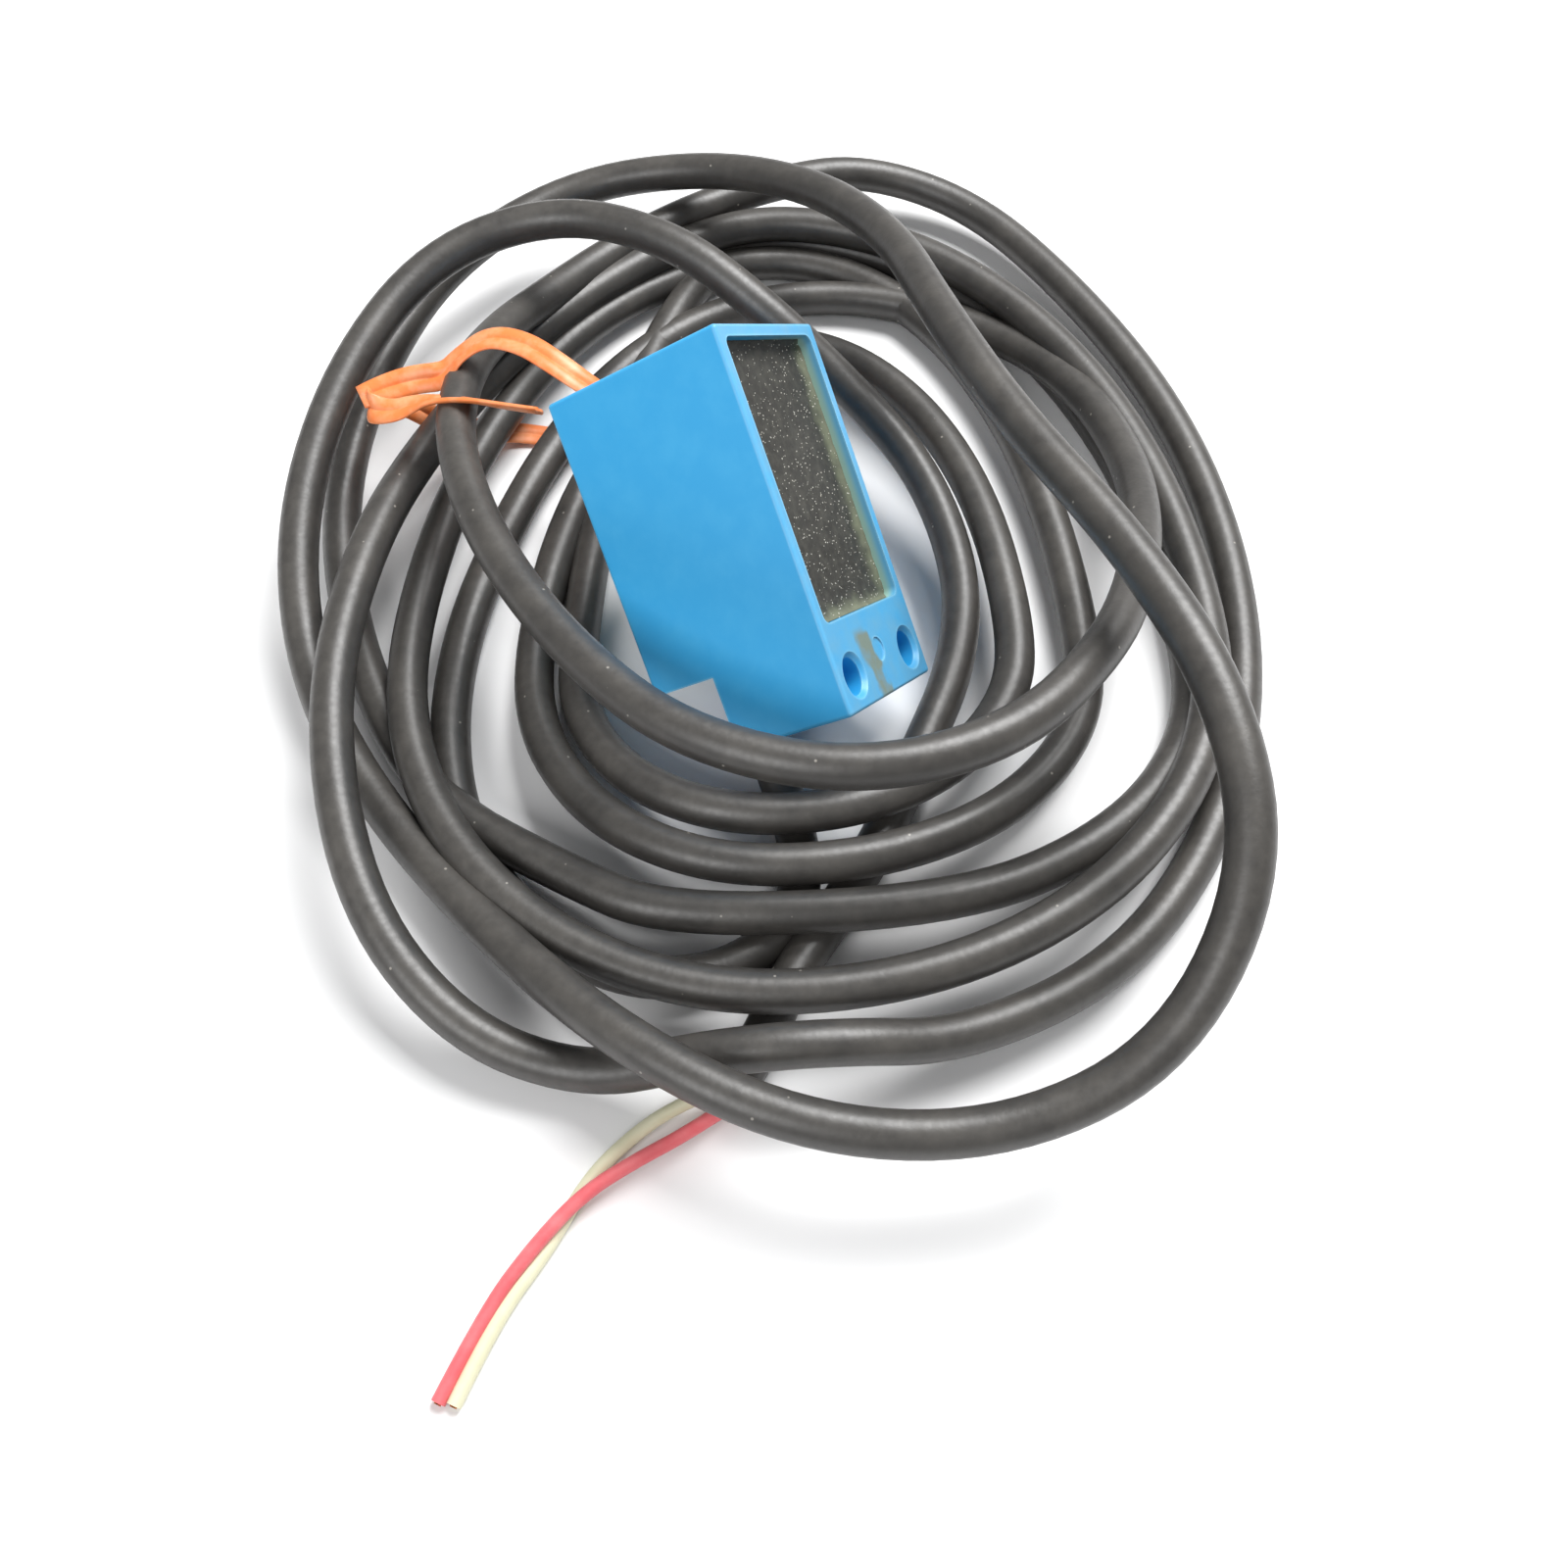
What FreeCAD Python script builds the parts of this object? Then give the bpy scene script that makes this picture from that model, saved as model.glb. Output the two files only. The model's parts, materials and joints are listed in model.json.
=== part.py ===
import FreeCAD, Part
import math
import os

import Sketcher
from FreeCAD import Placement, Rotation, Vector

# A square inductive proximity sensor with its lead coiled round it. Millimetres. The row frame has +Z
# up from the surface that the coil lies on, and its origin under the middle of the sensor's block.
# The sensor has a frame of its own: Z along the block from the cable end to the sensing end, Y out of
# the open side that is filled with resin, X out of the wide plain side. The block leans in the coil.

SIZES = {
    "body_side": 18.0,
    "body_length": 33.5,
    "edge_round": 0.35,
    "open_right": 8.0,
    "open_left": 7.75,
    "open_low": 7.9,
    "open_high": 32.4,
    "open_depth": 16.8,
    "corner_round": 0.8,
    "resin_drop": 1.6,
    "step_depth": 6.4,
    "step_length": 6.7,
    "screw_hole": 3.4,
    "screw_spacing": 12.0,
    "screw_height": 3.0,
    "hole_chamfer": 0.4,
    "mark_width": 2.2,
    "mark_depth": 0.15,
    "mark_height": 4.1,
    "cable_width": 3.8,
    "cable_offset": 5.2,
    "wall_hole": 4.5,
    "boot_width": 5.0,
    "boot_tip": 4.4,
    "boot_flange": 0.6,
    "boot_collar": 3.2,
    "boot_taper": 1.8,
    "exit_straight": 4.1,
    "over_cut": 1.0,
    "core_offset": 0.6,
    "core_gap": 0.3,
    "core_width": 13.6,
    "core_height": 6.0,
    "core_post": 5.8,
    "core_window": 11.2,
    "window_depth": 4.2,
    "bobbin_gap": 0.1,
    "bobbin_bore": 5.9,
    "bobbin_tube": 6.7,
    "bobbin_flange": 10.9,
    "bobbin_height": 3.8,
    "flange_thickness": 0.4,
    "winding_width": 10.4,
    "board_width": 14.0,
    "board_thickness": 1.0,
    "board_length": 16.6,
    "board_gap": 0.9,
    "board_face": 1.2,
    "oscillator_chip_width": 5.0,
    "oscillator_chip_depth": 1.5,
    "oscillator_chip_height": 4.0,
    "output_transistor_width": 4.5,
    "output_transistor_depth": 1.5,
    "output_transistor_height": 2.5,
    "smoothing_capacitor_width": 3.5,
    "smoothing_capacitor_depth": 1.9,
    "smoothing_capacitor_height": 2.8,
    "chip_capacitors_width": 2.0,
    "chip_capacitors_depth": 0.9,
    "chip_capacitors_height": 1.2,
    "chip_resistors_width": 1.6,
    "chip_resistors_depth": 0.5,
    "chip_resistors_height": 0.8,
    "wire_width": 1.2,
    "strand_width": 0.6,
    "lead_width": 1.1,
    "tie_width": 2.8,
    "tie_thickness": 0.6,
    "tie_wire_width": 0.5,
    "coil_height": 10.0,
    "coil_round": 2.6,
    "yaw": -123.7,
    "pitch": -36.4,
    "roll": 43.8,
}

RUN_SHARE = 0.45
LEAST_TURN = math.radians(0.5)
TOLERANCE = 1e-4
VOLUME_TOLERANCE = 0.01
SLACK = 0.1

# Where each piece on the board stands: its middle across the board, and its low side up the board.
BOARD_PLACES = {
    "oscillator_chip": [(1.0, 9.5)],
    "output_transistor": [(-3.5, 3.0)],
    "smoothing_capacitor": [(4.2, 2.6)],
    "chip_capacitors": [(-5.0, 8.2), (-4.6, 10.6), (-4.2, 13.0)],
    "chip_resistors": [(4.9, 7.6), (4.9, 9.5), (4.9, 11.4), (4.9, 13.3)],
}
# A conductor inside the block, from the lead's end: out to its own side, towards the board, and up.
BOARD_LEAD = [(0.9, 0.0, 0.0), (0.9, 0.0, 2.5), (2.4, 3.4, 4.6), (3.0, 6.4, 5.2)]

# Places on the lead's loose stretches, in the row frame.
EXIT_LANDING = (5.5, -25.5, 2.6)
FRONT_LOOP = [
    (35.8, 29.0, 6.2), (38.2, 19.0, 8.2), (38.0, 9.0, 11.4), (35.6, -2.0, 14.8), (31.0, -12.5, 18.2),
    (22.0, -23.0, 20.5), (9.0, -27.0, 21.0), (-4.5, -23.0, 20.0), (-14.5, -13.5, 18.5), (-23.0, -1.0, 17.5),
    (-28.0, 12.0, 16.5), (-28.5, 23.0, 15.0), (-25.8, 32.5, 11.4), (-20.5, 40.2, 8.0),
]
OUTER_LOOP = [
    (-15.0, 45.0, 6.4), (-8.0, 55.0, 6.8), (2.5, 63.0, 6.6), (13.0, 68.5, 5.0), (26.5, 64.0, 3.2),
    (37.0, 49.0, 3.0), (45.0, 32.0, 3.0), (49.0, 14.0, 2.8), (48.5, -5.0, 2.6), (43.0, -22.0, 2.6),
    (33.0, -35.0, 2.6), (18.5, -42.5, 4.2), (7.0, -44.0, 8.6), (-3.0, -44.6, 7.4), (-13.0, -45.2, 2.8),
    (-24.0, -41.5, 4.6), (-33.0, -31.0, 7.8), (-37.5, -13.5, 11.0), (-36.5, 4.5, 11.0),
    (-33.0, 20.0, 8.5), (-26.5, 34.5, 7.0),
]
TOP_LOOP = [
    (-16.0, -27.0, 4.0), (-29.0, -19.0, 2.6), (-38.0, -4.0, 2.6), (-43.0, 14.0, 3.6), (-41.5, 31.0, 6.0),
    (-34.5, 47.5, 8.5), (-21.5, 59.0, 9.5), (-6.0, 58.5, 12.5), (6.5, 50.5, 16.2), (14.5, 38.0, 19.5),
    (18.0, 23.5, 22.5), (23.5, 7.5, 24.5), (31.5, -8.0, 26.0), (37.0, -23.0, 26.5),
    (38.5, -36.0, 22.5), (32.5, -47.0, 14.0), (20.0, -52.0, 9.8), (5.0, -51.8, 10.8),
    (-9.0, -45.0, 10.8), (-22.5, -32.4, 5.6), (-34.0, -19.5, 3.4), (-42.0, -6.5, 5.0),
    (-44.5, 8.5, 9.5), (-41.5, 24.5, 13.5), (-33.5, 38.5, 16.5), (-20.5, 43.0, 18.5),
    (-8.0, 37.0, 20.0), (2.0, 30.0, 16.5), (12.0, 23.5, 10.0), (20.0, 13.0, 6.5), (22.5, -1.0, 4.2),
    (20.0, -13.0, 2.8), (12.5, -22.5, 2.6), (8.0, -30.0, 2.6),
]
CABLE_END = [(4.0, -36.0, 2.6), (1.8, -41.2, 2.4), (-1.0, -46.2, 2.2)]
RED_WIRE = [
    (-0.2, -46.65, 2.2), (-3.0, -48.6, 1.8), (-8.2, -51.3, 2.9), (-12.6, -54.3, 3.0), (-16.0, -58.6, 1.8),
    (-19.3, -63.8, 1.1), (-22.0, -69.3, 1.0),
]
CREAM_WIRE = [
    (-1.8, -45.75, 2.2), (-5.2, -47.3, 1.4), (-9.2, -50.6, 1.0), (-12.2, -55.2, 1.0), (-14.4, -59.8, 1.0),
    (-18.0, -64.8, 1.0), (-20.4, -69.6, 1.0),
]
TIE_LOOP = [
    (-16.2, 22.1, 18.2), (-21.0, 26.0, 18.9), (-27.0, 27.6, 18.5), (-31.7, 25.7, 15.6), (-35.0, 22.8, 14.2),
    (-38.2, 21.8, 14.2),
]

# Half widths of the coil's ring about its middle: to the right, far, left and near sides.
COIL_MIDDLE = Vector(2.5, -3.1, 0)
COIL_OUTSIDE = (43.8, 64.7, 35.4, 37.6)
COIL_INSIDE = (30.3, 48.9, 17.8, 19.4)
OUTLINE_POINTS = 24

document = FreeCAD.newDocument("proximity_sensor")
sheet = document.addObject("Spreadsheet::Sheet", "Sizes")
for row, (alias, number) in enumerate(SIZES.items(), start=1):
    sheet.set(f"A{row}", alias)
    sheet.set(f"B{row}", str(number))
    sheet.setAlias(f"B{row}", alias)
document.recompute()

sub_parts = []


def size(expression):
    """The value of an expression in the sheet's aliases."""
    return float(sheet.evalExpression(expression))


def keep(item, label):
    """Name an item as one of the sensor's sub-parts."""
    item.Label = label
    sub_parts.append(item)
    return item


# ---------------------------------------------------------------- sketches and features of a body


def sketch_on(body, name, plane, offset="0"):
    """An empty sketch on one of the body's own planes, moved along its normal."""
    sketch = body.newObject("Sketcher::SketchObject", name)
    support = next(f for f in body.Origin.OriginFeatures if f.Role == plane)
    sketch.AttachmentSupport = [(support, "")]
    sketch.MapMode = "FlatFace"
    sketch.setExpression("AttachmentOffset.Base.z", offset)
    return sketch


def rectangle(sketch, left, right, low, high):
    """A closed rectangle between four expressions."""
    x0, x1, y0, y1 = (size(edge) for edge in (left, right, low, high))
    corners = [Vector(x0, y0, 0), Vector(x1, y0, 0), Vector(x1, y1, 0), Vector(x0, y1, 0)]
    for here, following in zip(corners, corners[1:] + corners[:1]):
        sketch.addGeometry(Part.LineSegment(here, following))
    for side in range(4):
        sketch.addConstraint(Sketcher.Constraint("Coincident", side, 2, (side + 1) % 4, 1))
        level = "Horizontal" if side % 2 == 0 else "Vertical"
        sketch.addConstraint(Sketcher.Constraint(level, side))
    limits = (("DistanceX", 0, x0, left), ("DistanceY", 0, y0, low),
              ("DistanceX", 2, x1, right), ("DistanceY", 2, y1, high))
    for kind, side, value, expression in limits:
        number = sketch.addConstraint(Sketcher.Constraint(kind, -1, 1, side, 1, value))
        sketch.setExpression(f"Constraints[{number}]", expression)


def circle(sketch, x, y, diameter):
    """A circle whose centre and diameter are expressions."""
    centre = Vector(size(x), size(y), 0)
    ring = sketch.addGeometry(Part.Circle(centre, Vector(0, 0, 1), size(diameter) / 2))
    if centre.x:
        number = sketch.addConstraint(Sketcher.Constraint("DistanceX", -1, 1, ring, 3, centre.x))
        sketch.setExpression(f"Constraints[{number}]", x)
    else:
        sketch.addConstraint(Sketcher.Constraint("PointOnObject", ring, 3, -2))
    number = sketch.addConstraint(Sketcher.Constraint("DistanceY", -1, 1, ring, 3, centre.y))
    sketch.setExpression(f"Constraints[{number}]", y)
    number = sketch.addConstraint(Sketcher.Constraint("Diameter", ring, size(diameter)))
    sketch.setExpression(f"Constraints[{number}]", diameter)


def extrude(body, kind, sketch, length, reverse=False):
    """A pad or a pocket of a sketch."""
    feature = body.newObject(f"PartDesign::{kind}", f"{sketch.Name}_{kind.lower()}")
    feature.Profile = sketch
    feature.setExpression("Length", length)
    feature.Reversed = reverse
    document.recompute()
    return feature


def dress(body, kind, base, chosen, dimension, expression):
    """A fillet or chamfer on the edges of the last feature that a test picks."""
    edges = [f"Edge{n}" for n, edge in enumerate(base.Shape.Edges, start=1) if chosen(edge)]
    feature = body.newObject(f"PartDesign::{kind}", f"{base.Name}_{kind.lower()}")
    feature.Base = (base, edges)
    feature.setExpression(dimension, expression)
    document.recompute()
    return feature


def is_outer_edge(edge):
    """Whether an edge lies on two of the block's outer planes."""
    half, length = size("Sizes.body_side") / 2, size("Sizes.body_length")
    middle = edge.valueAt((edge.FirstParameter + edge.LastParameter) / 2)
    ends = [vertex.Point for vertex in edge.Vertexes] + [middle]
    planes = [lambda p: abs(abs(p.x) - half), lambda p: abs(abs(p.y) - half),
              lambda p: min(abs(p.z), abs(p.z - length))]
    return sum(all(gap(point) < TOLERANCE for point in ends) for gap in planes) >= 2


def is_pocket_corner(edge):
    """Whether an edge runs along Y inside the open side's pocket."""
    ends = [vertex.Point for vertex in edge.Vertexes]
    if len(ends) != 2:
        return False
    half, low, length = size("Sizes.body_side / 2"), size("Sizes.open_low"), size("Sizes.body_length")
    inside = all(abs(p.x) < half - SLACK and low - SLACK < p.z < length - SLACK for p in ends)
    along = abs(ends[0].x - ends[1].x) < TOLERANCE and abs(ends[0].z - ends[1].z) < TOLERANCE
    return inside and along and abs(edge.Length - size("Sizes.open_depth")) < TOLERANCE


def is_screw_mouth(edge):
    """Whether an edge is the round mouth of a screw hole in the open side."""
    if edge.Degenerated or not edge.Closed or not isinstance(edge.Curve, Part.Circle):
        return False
    level = abs(edge.Curve.Center.y - size("Sizes.body_side / 2")) < TOLERANCE
    return level and abs(edge.Curve.Radius - size("Sizes.screw_hole / 2")) < TOLERANCE


def make_housing():
    """The moulded shell: open along one side, with a lug for two screws at the cable end."""
    body = document.addObject("PartDesign::Body", "housing")
    half = "Sizes.body_side / 2"
    block = sketch_on(body, "block", "XY_Plane")
    rectangle(block, f"-{half}", half, f"-{half}", half)
    last = extrude(body, "Pad", block, "Sizes.body_length")

    opening = sketch_on(body, "opening", "XZ_Plane", f"-{half}")
    rectangle(opening, "-Sizes.open_left", "Sizes.open_right", "Sizes.open_low", "Sizes.open_high")
    last = extrude(body, "Pocket", opening, "Sizes.open_depth", reverse=True)
    last = dress(body, "Fillet", last, is_pocket_corner, "Radius", "Sizes.corner_round")

    step = sketch_on(body, "step", "YZ_Plane", "-Sizes.body_side")
    rectangle(step, "-Sizes.body_side", f"Sizes.step_depth - {half}", "-Sizes.step_length", "Sizes.step_length")
    last = extrude(body, "Pocket", step, "Sizes.body_side * 2", reverse=True)
    last = dress(body, "Fillet", last, is_outer_edge, "Radius", "Sizes.edge_round")

    screws = sketch_on(body, "screws", "XZ_Plane", f"-{half}")
    for side in ("-", ""):
        circle(screws, f"{side}Sizes.screw_spacing / 2", "Sizes.screw_height", "Sizes.screw_hole")
    last = extrude(body, "Pocket", screws, "Sizes.body_side", reverse=True)
    dress(body, "Chamfer", last, is_screw_mouth, "Size", "Sizes.hole_chamfer")

    mark = sketch_on(body, "mark", "XZ_Plane", f"-{half}")
    circle(mark, "0", "Sizes.mark_height", "Sizes.mark_width")
    extrude(body, "Pocket", mark, "Sizes.mark_depth", reverse=True)

    outlet = sketch_on(body, "outlet", "XY_Plane", "Sizes.step_length - Sizes.over_cut")
    circle(outlet, "0", "-Sizes.cable_offset", "Sizes.wall_hole")
    extrude(body, "Pocket", outlet, "Sizes.open_low - Sizes.step_length + 2 * Sizes.over_cut", reverse=True)
    return keep(body, "housing")


housing = make_housing()


def resting_place(shape):
    """Tilt the sensor, and move the middle of its box's underside to the origin."""
    tilt = Rotation(size("Sizes.yaw"), size("Sizes.pitch"), size("Sizes.roll"))
    tilted = shape.copy()
    tilted.Placement = Placement(Vector(), tilt)
    bounds = tilted.optimalBoundingBox(False)
    return Placement(Vector(-bounds.Center.x, -bounds.Center.y, -bounds.ZMin), tilt)


sensor = resting_place(housing.Shape)
housing.Placement = sensor


def seat(item, x, y, z, turn=Rotation()):
    """Place an item in the sensor's own frame."""
    item.Placement = sensor.multiply(Placement(Vector(x, y, z), turn))
    return item


# ---------------------------------------------------------------- plain solids in the sensor's frame


def cylinder(name, diameter, height, x, y, z):
    """A cylinder along the sensor's Z, from expressions."""
    item = document.addObject("Part::Cylinder", name)
    item.setExpression("Radius", f"({diameter}) / 2")
    item.setExpression("Height", height)
    return seat(item, x, y, z)


def cone(name, low_diameter, high_diameter, height, x, y, z):
    """A cone along the sensor's Z, from expressions."""
    item = document.addObject("Part::Cone", name)
    item.setExpression("Radius1", f"({low_diameter}) / 2")
    item.setExpression("Radius2", f"({high_diameter}) / 2")
    item.setExpression("Height", height)
    return seat(item, x, y, z)


def block_at(name, width, depth, height, x, y, z):
    """A box in the sensor's frame: sizes are expressions, and x is its middle, y and z its low sides."""
    item = document.addObject("Part::Box", name)
    item.setExpression("Length", width)
    item.setExpression("Width", depth)
    item.setExpression("Height", height)
    return seat(item, x - size(width) / 2, y, z)


def fuse(name, items):
    """One solid from several."""
    item = document.addObject("Part::MultiFuse", name)
    item.Shapes = items
    return item


def cut(name, base, tool):
    """A solid with another taken out of it."""
    item = document.addObject("Part::Cut", name)
    item.Base = base
    item.Tool = tool
    return item


def group(name, items):
    """Separate solids in one sub-part."""
    item = document.addObject("Part::Compound", name)
    item.Links = items
    return item


def make_coil_set():
    """Pot core, bobbin and winding, close behind the sensing end."""
    x = size("(Sizes.open_right - Sizes.open_left) / 2")
    y = size("-Sizes.core_offset")
    top = size("Sizes.open_high - Sizes.core_gap")
    low = top - size("Sizes.core_height")
    floor = top - size("Sizes.window_depth")
    margin = size("Sizes.over_cut")
    cup = cylinder("core_cup", "Sizes.core_width", "Sizes.core_height", x, y, low)
    window = cylinder("core_window", "Sizes.core_window", "Sizes.window_depth + Sizes.over_cut", x, y, floor)
    post = cylinder("core_post", "Sizes.core_post", "Sizes.core_height - Sizes.over_cut", x, y, low + margin)
    core = keep(fuse("ferrite", [cut("core_shell", cup, window), post]), "ferrite_core")

    foot = floor + size("Sizes.bobbin_gap")
    tube = cylinder("bobbin_tube", "Sizes.bobbin_tube", "Sizes.bobbin_height", x, y, foot)
    flange_step = size("Sizes.bobbin_height - Sizes.flange_thickness")
    flanges = [cylinder(f"bobbin_flange_{n}", "Sizes.bobbin_flange", "Sizes.flange_thickness",
                        x, y, foot + n * flange_step) for n in (0, 1)]
    bore = cylinder("bobbin_bore", "Sizes.bobbin_bore", "Sizes.bobbin_height + 2 * Sizes.over_cut",
                    x, y, foot - margin)
    bobbin = keep(cut("bobbin", fuse("bobbin_blank", [tube] + flanges), bore), "coil_bobbin")

    turns_height = "Sizes.bobbin_height - 2 * Sizes.flange_thickness"
    turns_low = foot + size("Sizes.flange_thickness")
    turns = cylinder("turns", "Sizes.winding_width", turns_height, x, y, turns_low)
    middle = cylinder("turns_bore", "Sizes.bobbin_tube", "Sizes.bobbin_height", x, y, foot)
    winding = keep(cut("winding", turns, middle), "coil_winding")
    return [core, bobbin, winding]


def make_board():
    """The circuit board and what is soldered on it."""
    low = size("Sizes.open_low + Sizes.board_gap")
    face = size("Sizes.board_face")
    board = block_at("board", "Sizes.board_width", "Sizes.board_thickness", "Sizes.board_length", 0, face, low)
    made = [keep(board, "circuit_board")]
    top = face + size("Sizes.board_thickness")
    for label, places in BOARD_PLACES.items():
        sides = [f"Sizes.{label}_{side}" for side in ("width", "depth", "height")]
        pieces = [block_at(f"{label}_{n}", *sides, across, top, low + up)
                  for n, (across, up) in enumerate(places, start=1)]
        made.append(keep(group(f"{label}_set", pieces) if len(pieces) > 1 else pieces[0], label))
    return made


def make_boot(boot_low, lead):
    """The collar that grips the lead: flange inside the wall, neck in the wall, taper outside."""
    y = size("-Sizes.cable_offset")
    wall = size("Sizes.step_length")
    inner = size("Sizes.open_low")
    flange = cylinder("boot_flange", "Sizes.boot_width", "Sizes.boot_flange", 0, y, inner)
    neck = cylinder("boot_neck", "Sizes.wall_hole", "Sizes.open_low - Sizes.step_length", 0, y, wall)
    collar_low = boot_low + size("Sizes.boot_taper")
    collar = cylinder("boot_collar", "Sizes.boot_width", "Sizes.boot_collar", 0, y, collar_low)
    taper = cone("boot_taper", "Sizes.boot_tip", "Sizes.boot_width", "Sizes.boot_taper", 0, y, boot_low)
    blank = fuse("boot_blank", [flange, neck, collar, taper])
    return keep(cut("boot", blank, lead), "cable_boot")


# ---------------------------------------------------------------- the lead's tubes and its coil


def route(points):
    """Straight runs joined by tangent arcs, each as large as its two runs allow."""
    edges = []
    radii = []
    start = points[0]
    for before, corner, after in zip(points, points[1:], points[2:]):
        inward = (corner - before).normalize()
        onward = (after - corner).normalize()
        turn = inward.getAngle(onward)
        reach = RUN_SHARE * min(before.distanceToPoint(corner), corner.distanceToPoint(after))
        if turn < LEAST_TURN:
            raise ValueError(f"three points in line at {corner}")
        radius = reach / math.tan(turn / 2)
        enter, leave = corner - inward * reach, corner + onward * reach
        side = (onward - inward * onward.dot(inward)).normalize()
        centre = enter + side * radius
        middle = centre + (corner - centre).normalize() * radius
        edges.append(Part.LineSegment(start, enter).toShape())
        edges.append(Part.Arc(enter, middle, leave).toShape())
        radii.append(radius)
        start = leave
    edges.append(Part.LineSegment(start, points[-1]).toShape())
    return Part.Wire(edges), radii


def sweep(name, points, section):
    """A closed wire swept along a route."""
    path, radii = route(points)
    solid = path.makePipe(Part.Face(section))
    expected = Part.Face(section).Area * path.Length
    if abs(solid.Volume / expected - 1) > VOLUME_TOLERANCE:
        raise ValueError(f"{name}: volume {solid.Volume:.1f}, expected {expected:.1f}")
    print(f"{name}: {path.Length:.0f} mm long, least radius {min(radii):.1f} mm")
    item = document.addObject("Part::Feature", name)
    item.Shape = solid
    return item


def tube(name, places, diameter):
    """A round section swept along a route."""
    points = [Vector(*place) for place in places]
    heading = (points[1] - points[0]).normalize()
    return sweep(name, points, Part.Wire(Part.Circle(points[0], heading, size(diameter) / 2).toShape()))


def outline(half_widths):
    """A closed smooth curve through quarter ellipses of four half widths."""
    right, far, left, near = half_widths
    points = []
    for step in range(OUTLINE_POINTS):
        angle = 2 * math.pi * step / OUTLINE_POINTS
        across = right if math.cos(angle) > 0 else left
        along = far if math.sin(angle) > 0 else near
        points.append(COIL_MIDDLE + Vector(across * math.cos(angle), along * math.sin(angle), 0))
    curve = Part.BSplineCurve()
    curve.interpolate(Points=points, PeriodicFlag=True)
    return Part.Wire(curve.toShape())


def make_coil():
    """The outer shape of the bundled turns: a ring round the sensor, square and with rounded rims."""
    ring = Part.Face(outline(COIL_OUTSIDE)).cut(Part.Face(outline(COIL_INSIDE)))
    square = document.addObject("Part::Feature", "square_coil")
    square.Shape = ring.Faces[0].extrude(Vector(0, 0, size("Sizes.coil_height")))
    rims = [edge for edge in square.Shape.Edges if edge.Closed]
    item = document.addObject("Part::Feature", "coil")
    item.Shape = square.Shape.makeFillet(size("Sizes.coil_round"), rims)
    keep(item, "cable_coil")
    return square


def meet(label, loose, coil):
    """End a tube at the coil's skin."""
    item = cut(f"{loose.Name}_trimmed", loose, coil)
    return keep(item, label)


def in_row_frame(points):
    """Points of the sensor's own frame, in the row frame."""
    return [tuple(sensor.multVec(Vector(*point))) for point in points]


def make_board_leads():
    """Two conductors from the lead's end up to the board."""
    y = size("-Sizes.cable_offset")
    bottom = size("Sizes.open_low + Sizes.board_gap")
    leads = []
    for number, side in enumerate((-1, 1), start=1):
        points = [(side * out, y + inward, bottom + up) for out, inward, up in BOARD_LEAD]
        leads.append(tube(f"board_lead_{number}", in_row_frame(points), "Sizes.lead_width"))
    board_side = block_at("board_side", "Sizes.board_width", "4 * Sizes.board_thickness", "Sizes.board_length",
                          0, size("Sizes.board_face"), bottom)
    return keep(cut("leads", group("lead_pair", leads), board_side), "board_leads")


def make_wire(colour, points, lead_end):
    """One conductor at the lead's free end: its insulation, and the strands inside it."""
    skin = cut(f"{colour}_skin_trimmed", tube(f"{colour}_skin", points, "Sizes.wire_width"), lead_end)
    copper = tube(f"{colour}_copper", points, "Sizes.strand_width")
    strands = keep(cut(f"{colour}_copper_trimmed", copper, lead_end), f"{colour}_strands")
    return keep(cut(f"{colour}_sleeve", skin, strands), f"{colour}_insulation")


def make_tie():
    """The flat twist tie: a plastic ribbon with a soft wire along its middle."""
    points = [Vector(*place) for place in TIE_LOOP]
    start = points[0]
    heading = (points[1] - start).normalize()
    across = heading.cross(Vector(0, 0, 1)).normalize()
    up = across.cross(heading)
    half_width, half_height = size("Sizes.tie_width / 2"), size("Sizes.tie_thickness / 2")
    corners = [start + across * (half_width * a) + up * (half_height * b)
               for a, b in ((-1, -1), (1, -1), (1, 1), (-1, 1), (-1, -1))]
    ribbon = sweep("ribbon_blank", points, Part.makePolygon(corners))
    wire = keep(tube("tie_core", TIE_LOOP, "Sizes.tie_wire_width"), "tie_wire")
    return keep(cut("ribbon", ribbon, wire), "tie_ribbon")


def make_potting(inner_parts):
    """The resin that fills the open side, round everything inside."""
    depth = "Sizes.open_depth - Sizes.resin_drop"
    fill = block_at("fill", "Sizes.open_left + Sizes.open_right", depth, "Sizes.open_high - Sizes.open_low",
                    size("(Sizes.open_right - Sizes.open_left) / 2"),
                    size("Sizes.body_side / 2 - Sizes.open_depth"), size("Sizes.open_low"))
    return keep(cut("resin", fill, group("resin_tools", [housing] + inner_parts)), "potting_compound")


coil = make_coil()
boot_end = size("Sizes.step_length - Sizes.boot_collar - Sizes.boot_taper")
inside = (0, size("-Sizes.cable_offset"), size("Sizes.open_low + Sizes.board_gap"))
below = (0, size("-Sizes.cable_offset"), boot_end - size("Sizes.exit_straight"))
exit_tube = tube("exit_tube", in_row_frame([inside, below]) + [EXIT_LANDING], "Sizes.cable_width")
boot = make_boot(boot_end, exit_tube)
cable_exit = meet("cable_exit", exit_tube, coil)
meet("cable_front_loop", tube("front_tube", FRONT_LOOP, "Sizes.cable_width"), coil)
meet("cable_outer_loop", tube("outer_tube", OUTER_LOOP, "Sizes.cable_width"), coil)
meet("cable_top_loop", tube("top_tube", TOP_LOOP, "Sizes.cable_width"), coil)
cable_end = meet("cable_end", tube("end_tube", CABLE_END, "Sizes.cable_width"), coil)
make_wire("red", RED_WIRE, cable_end)
make_wire("cream", CREAM_WIRE, cable_end)
make_tie()
make_potting(make_coil_set() + make_board() + [make_board_leads(), boot, cable_exit])
document.recompute()

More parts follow.
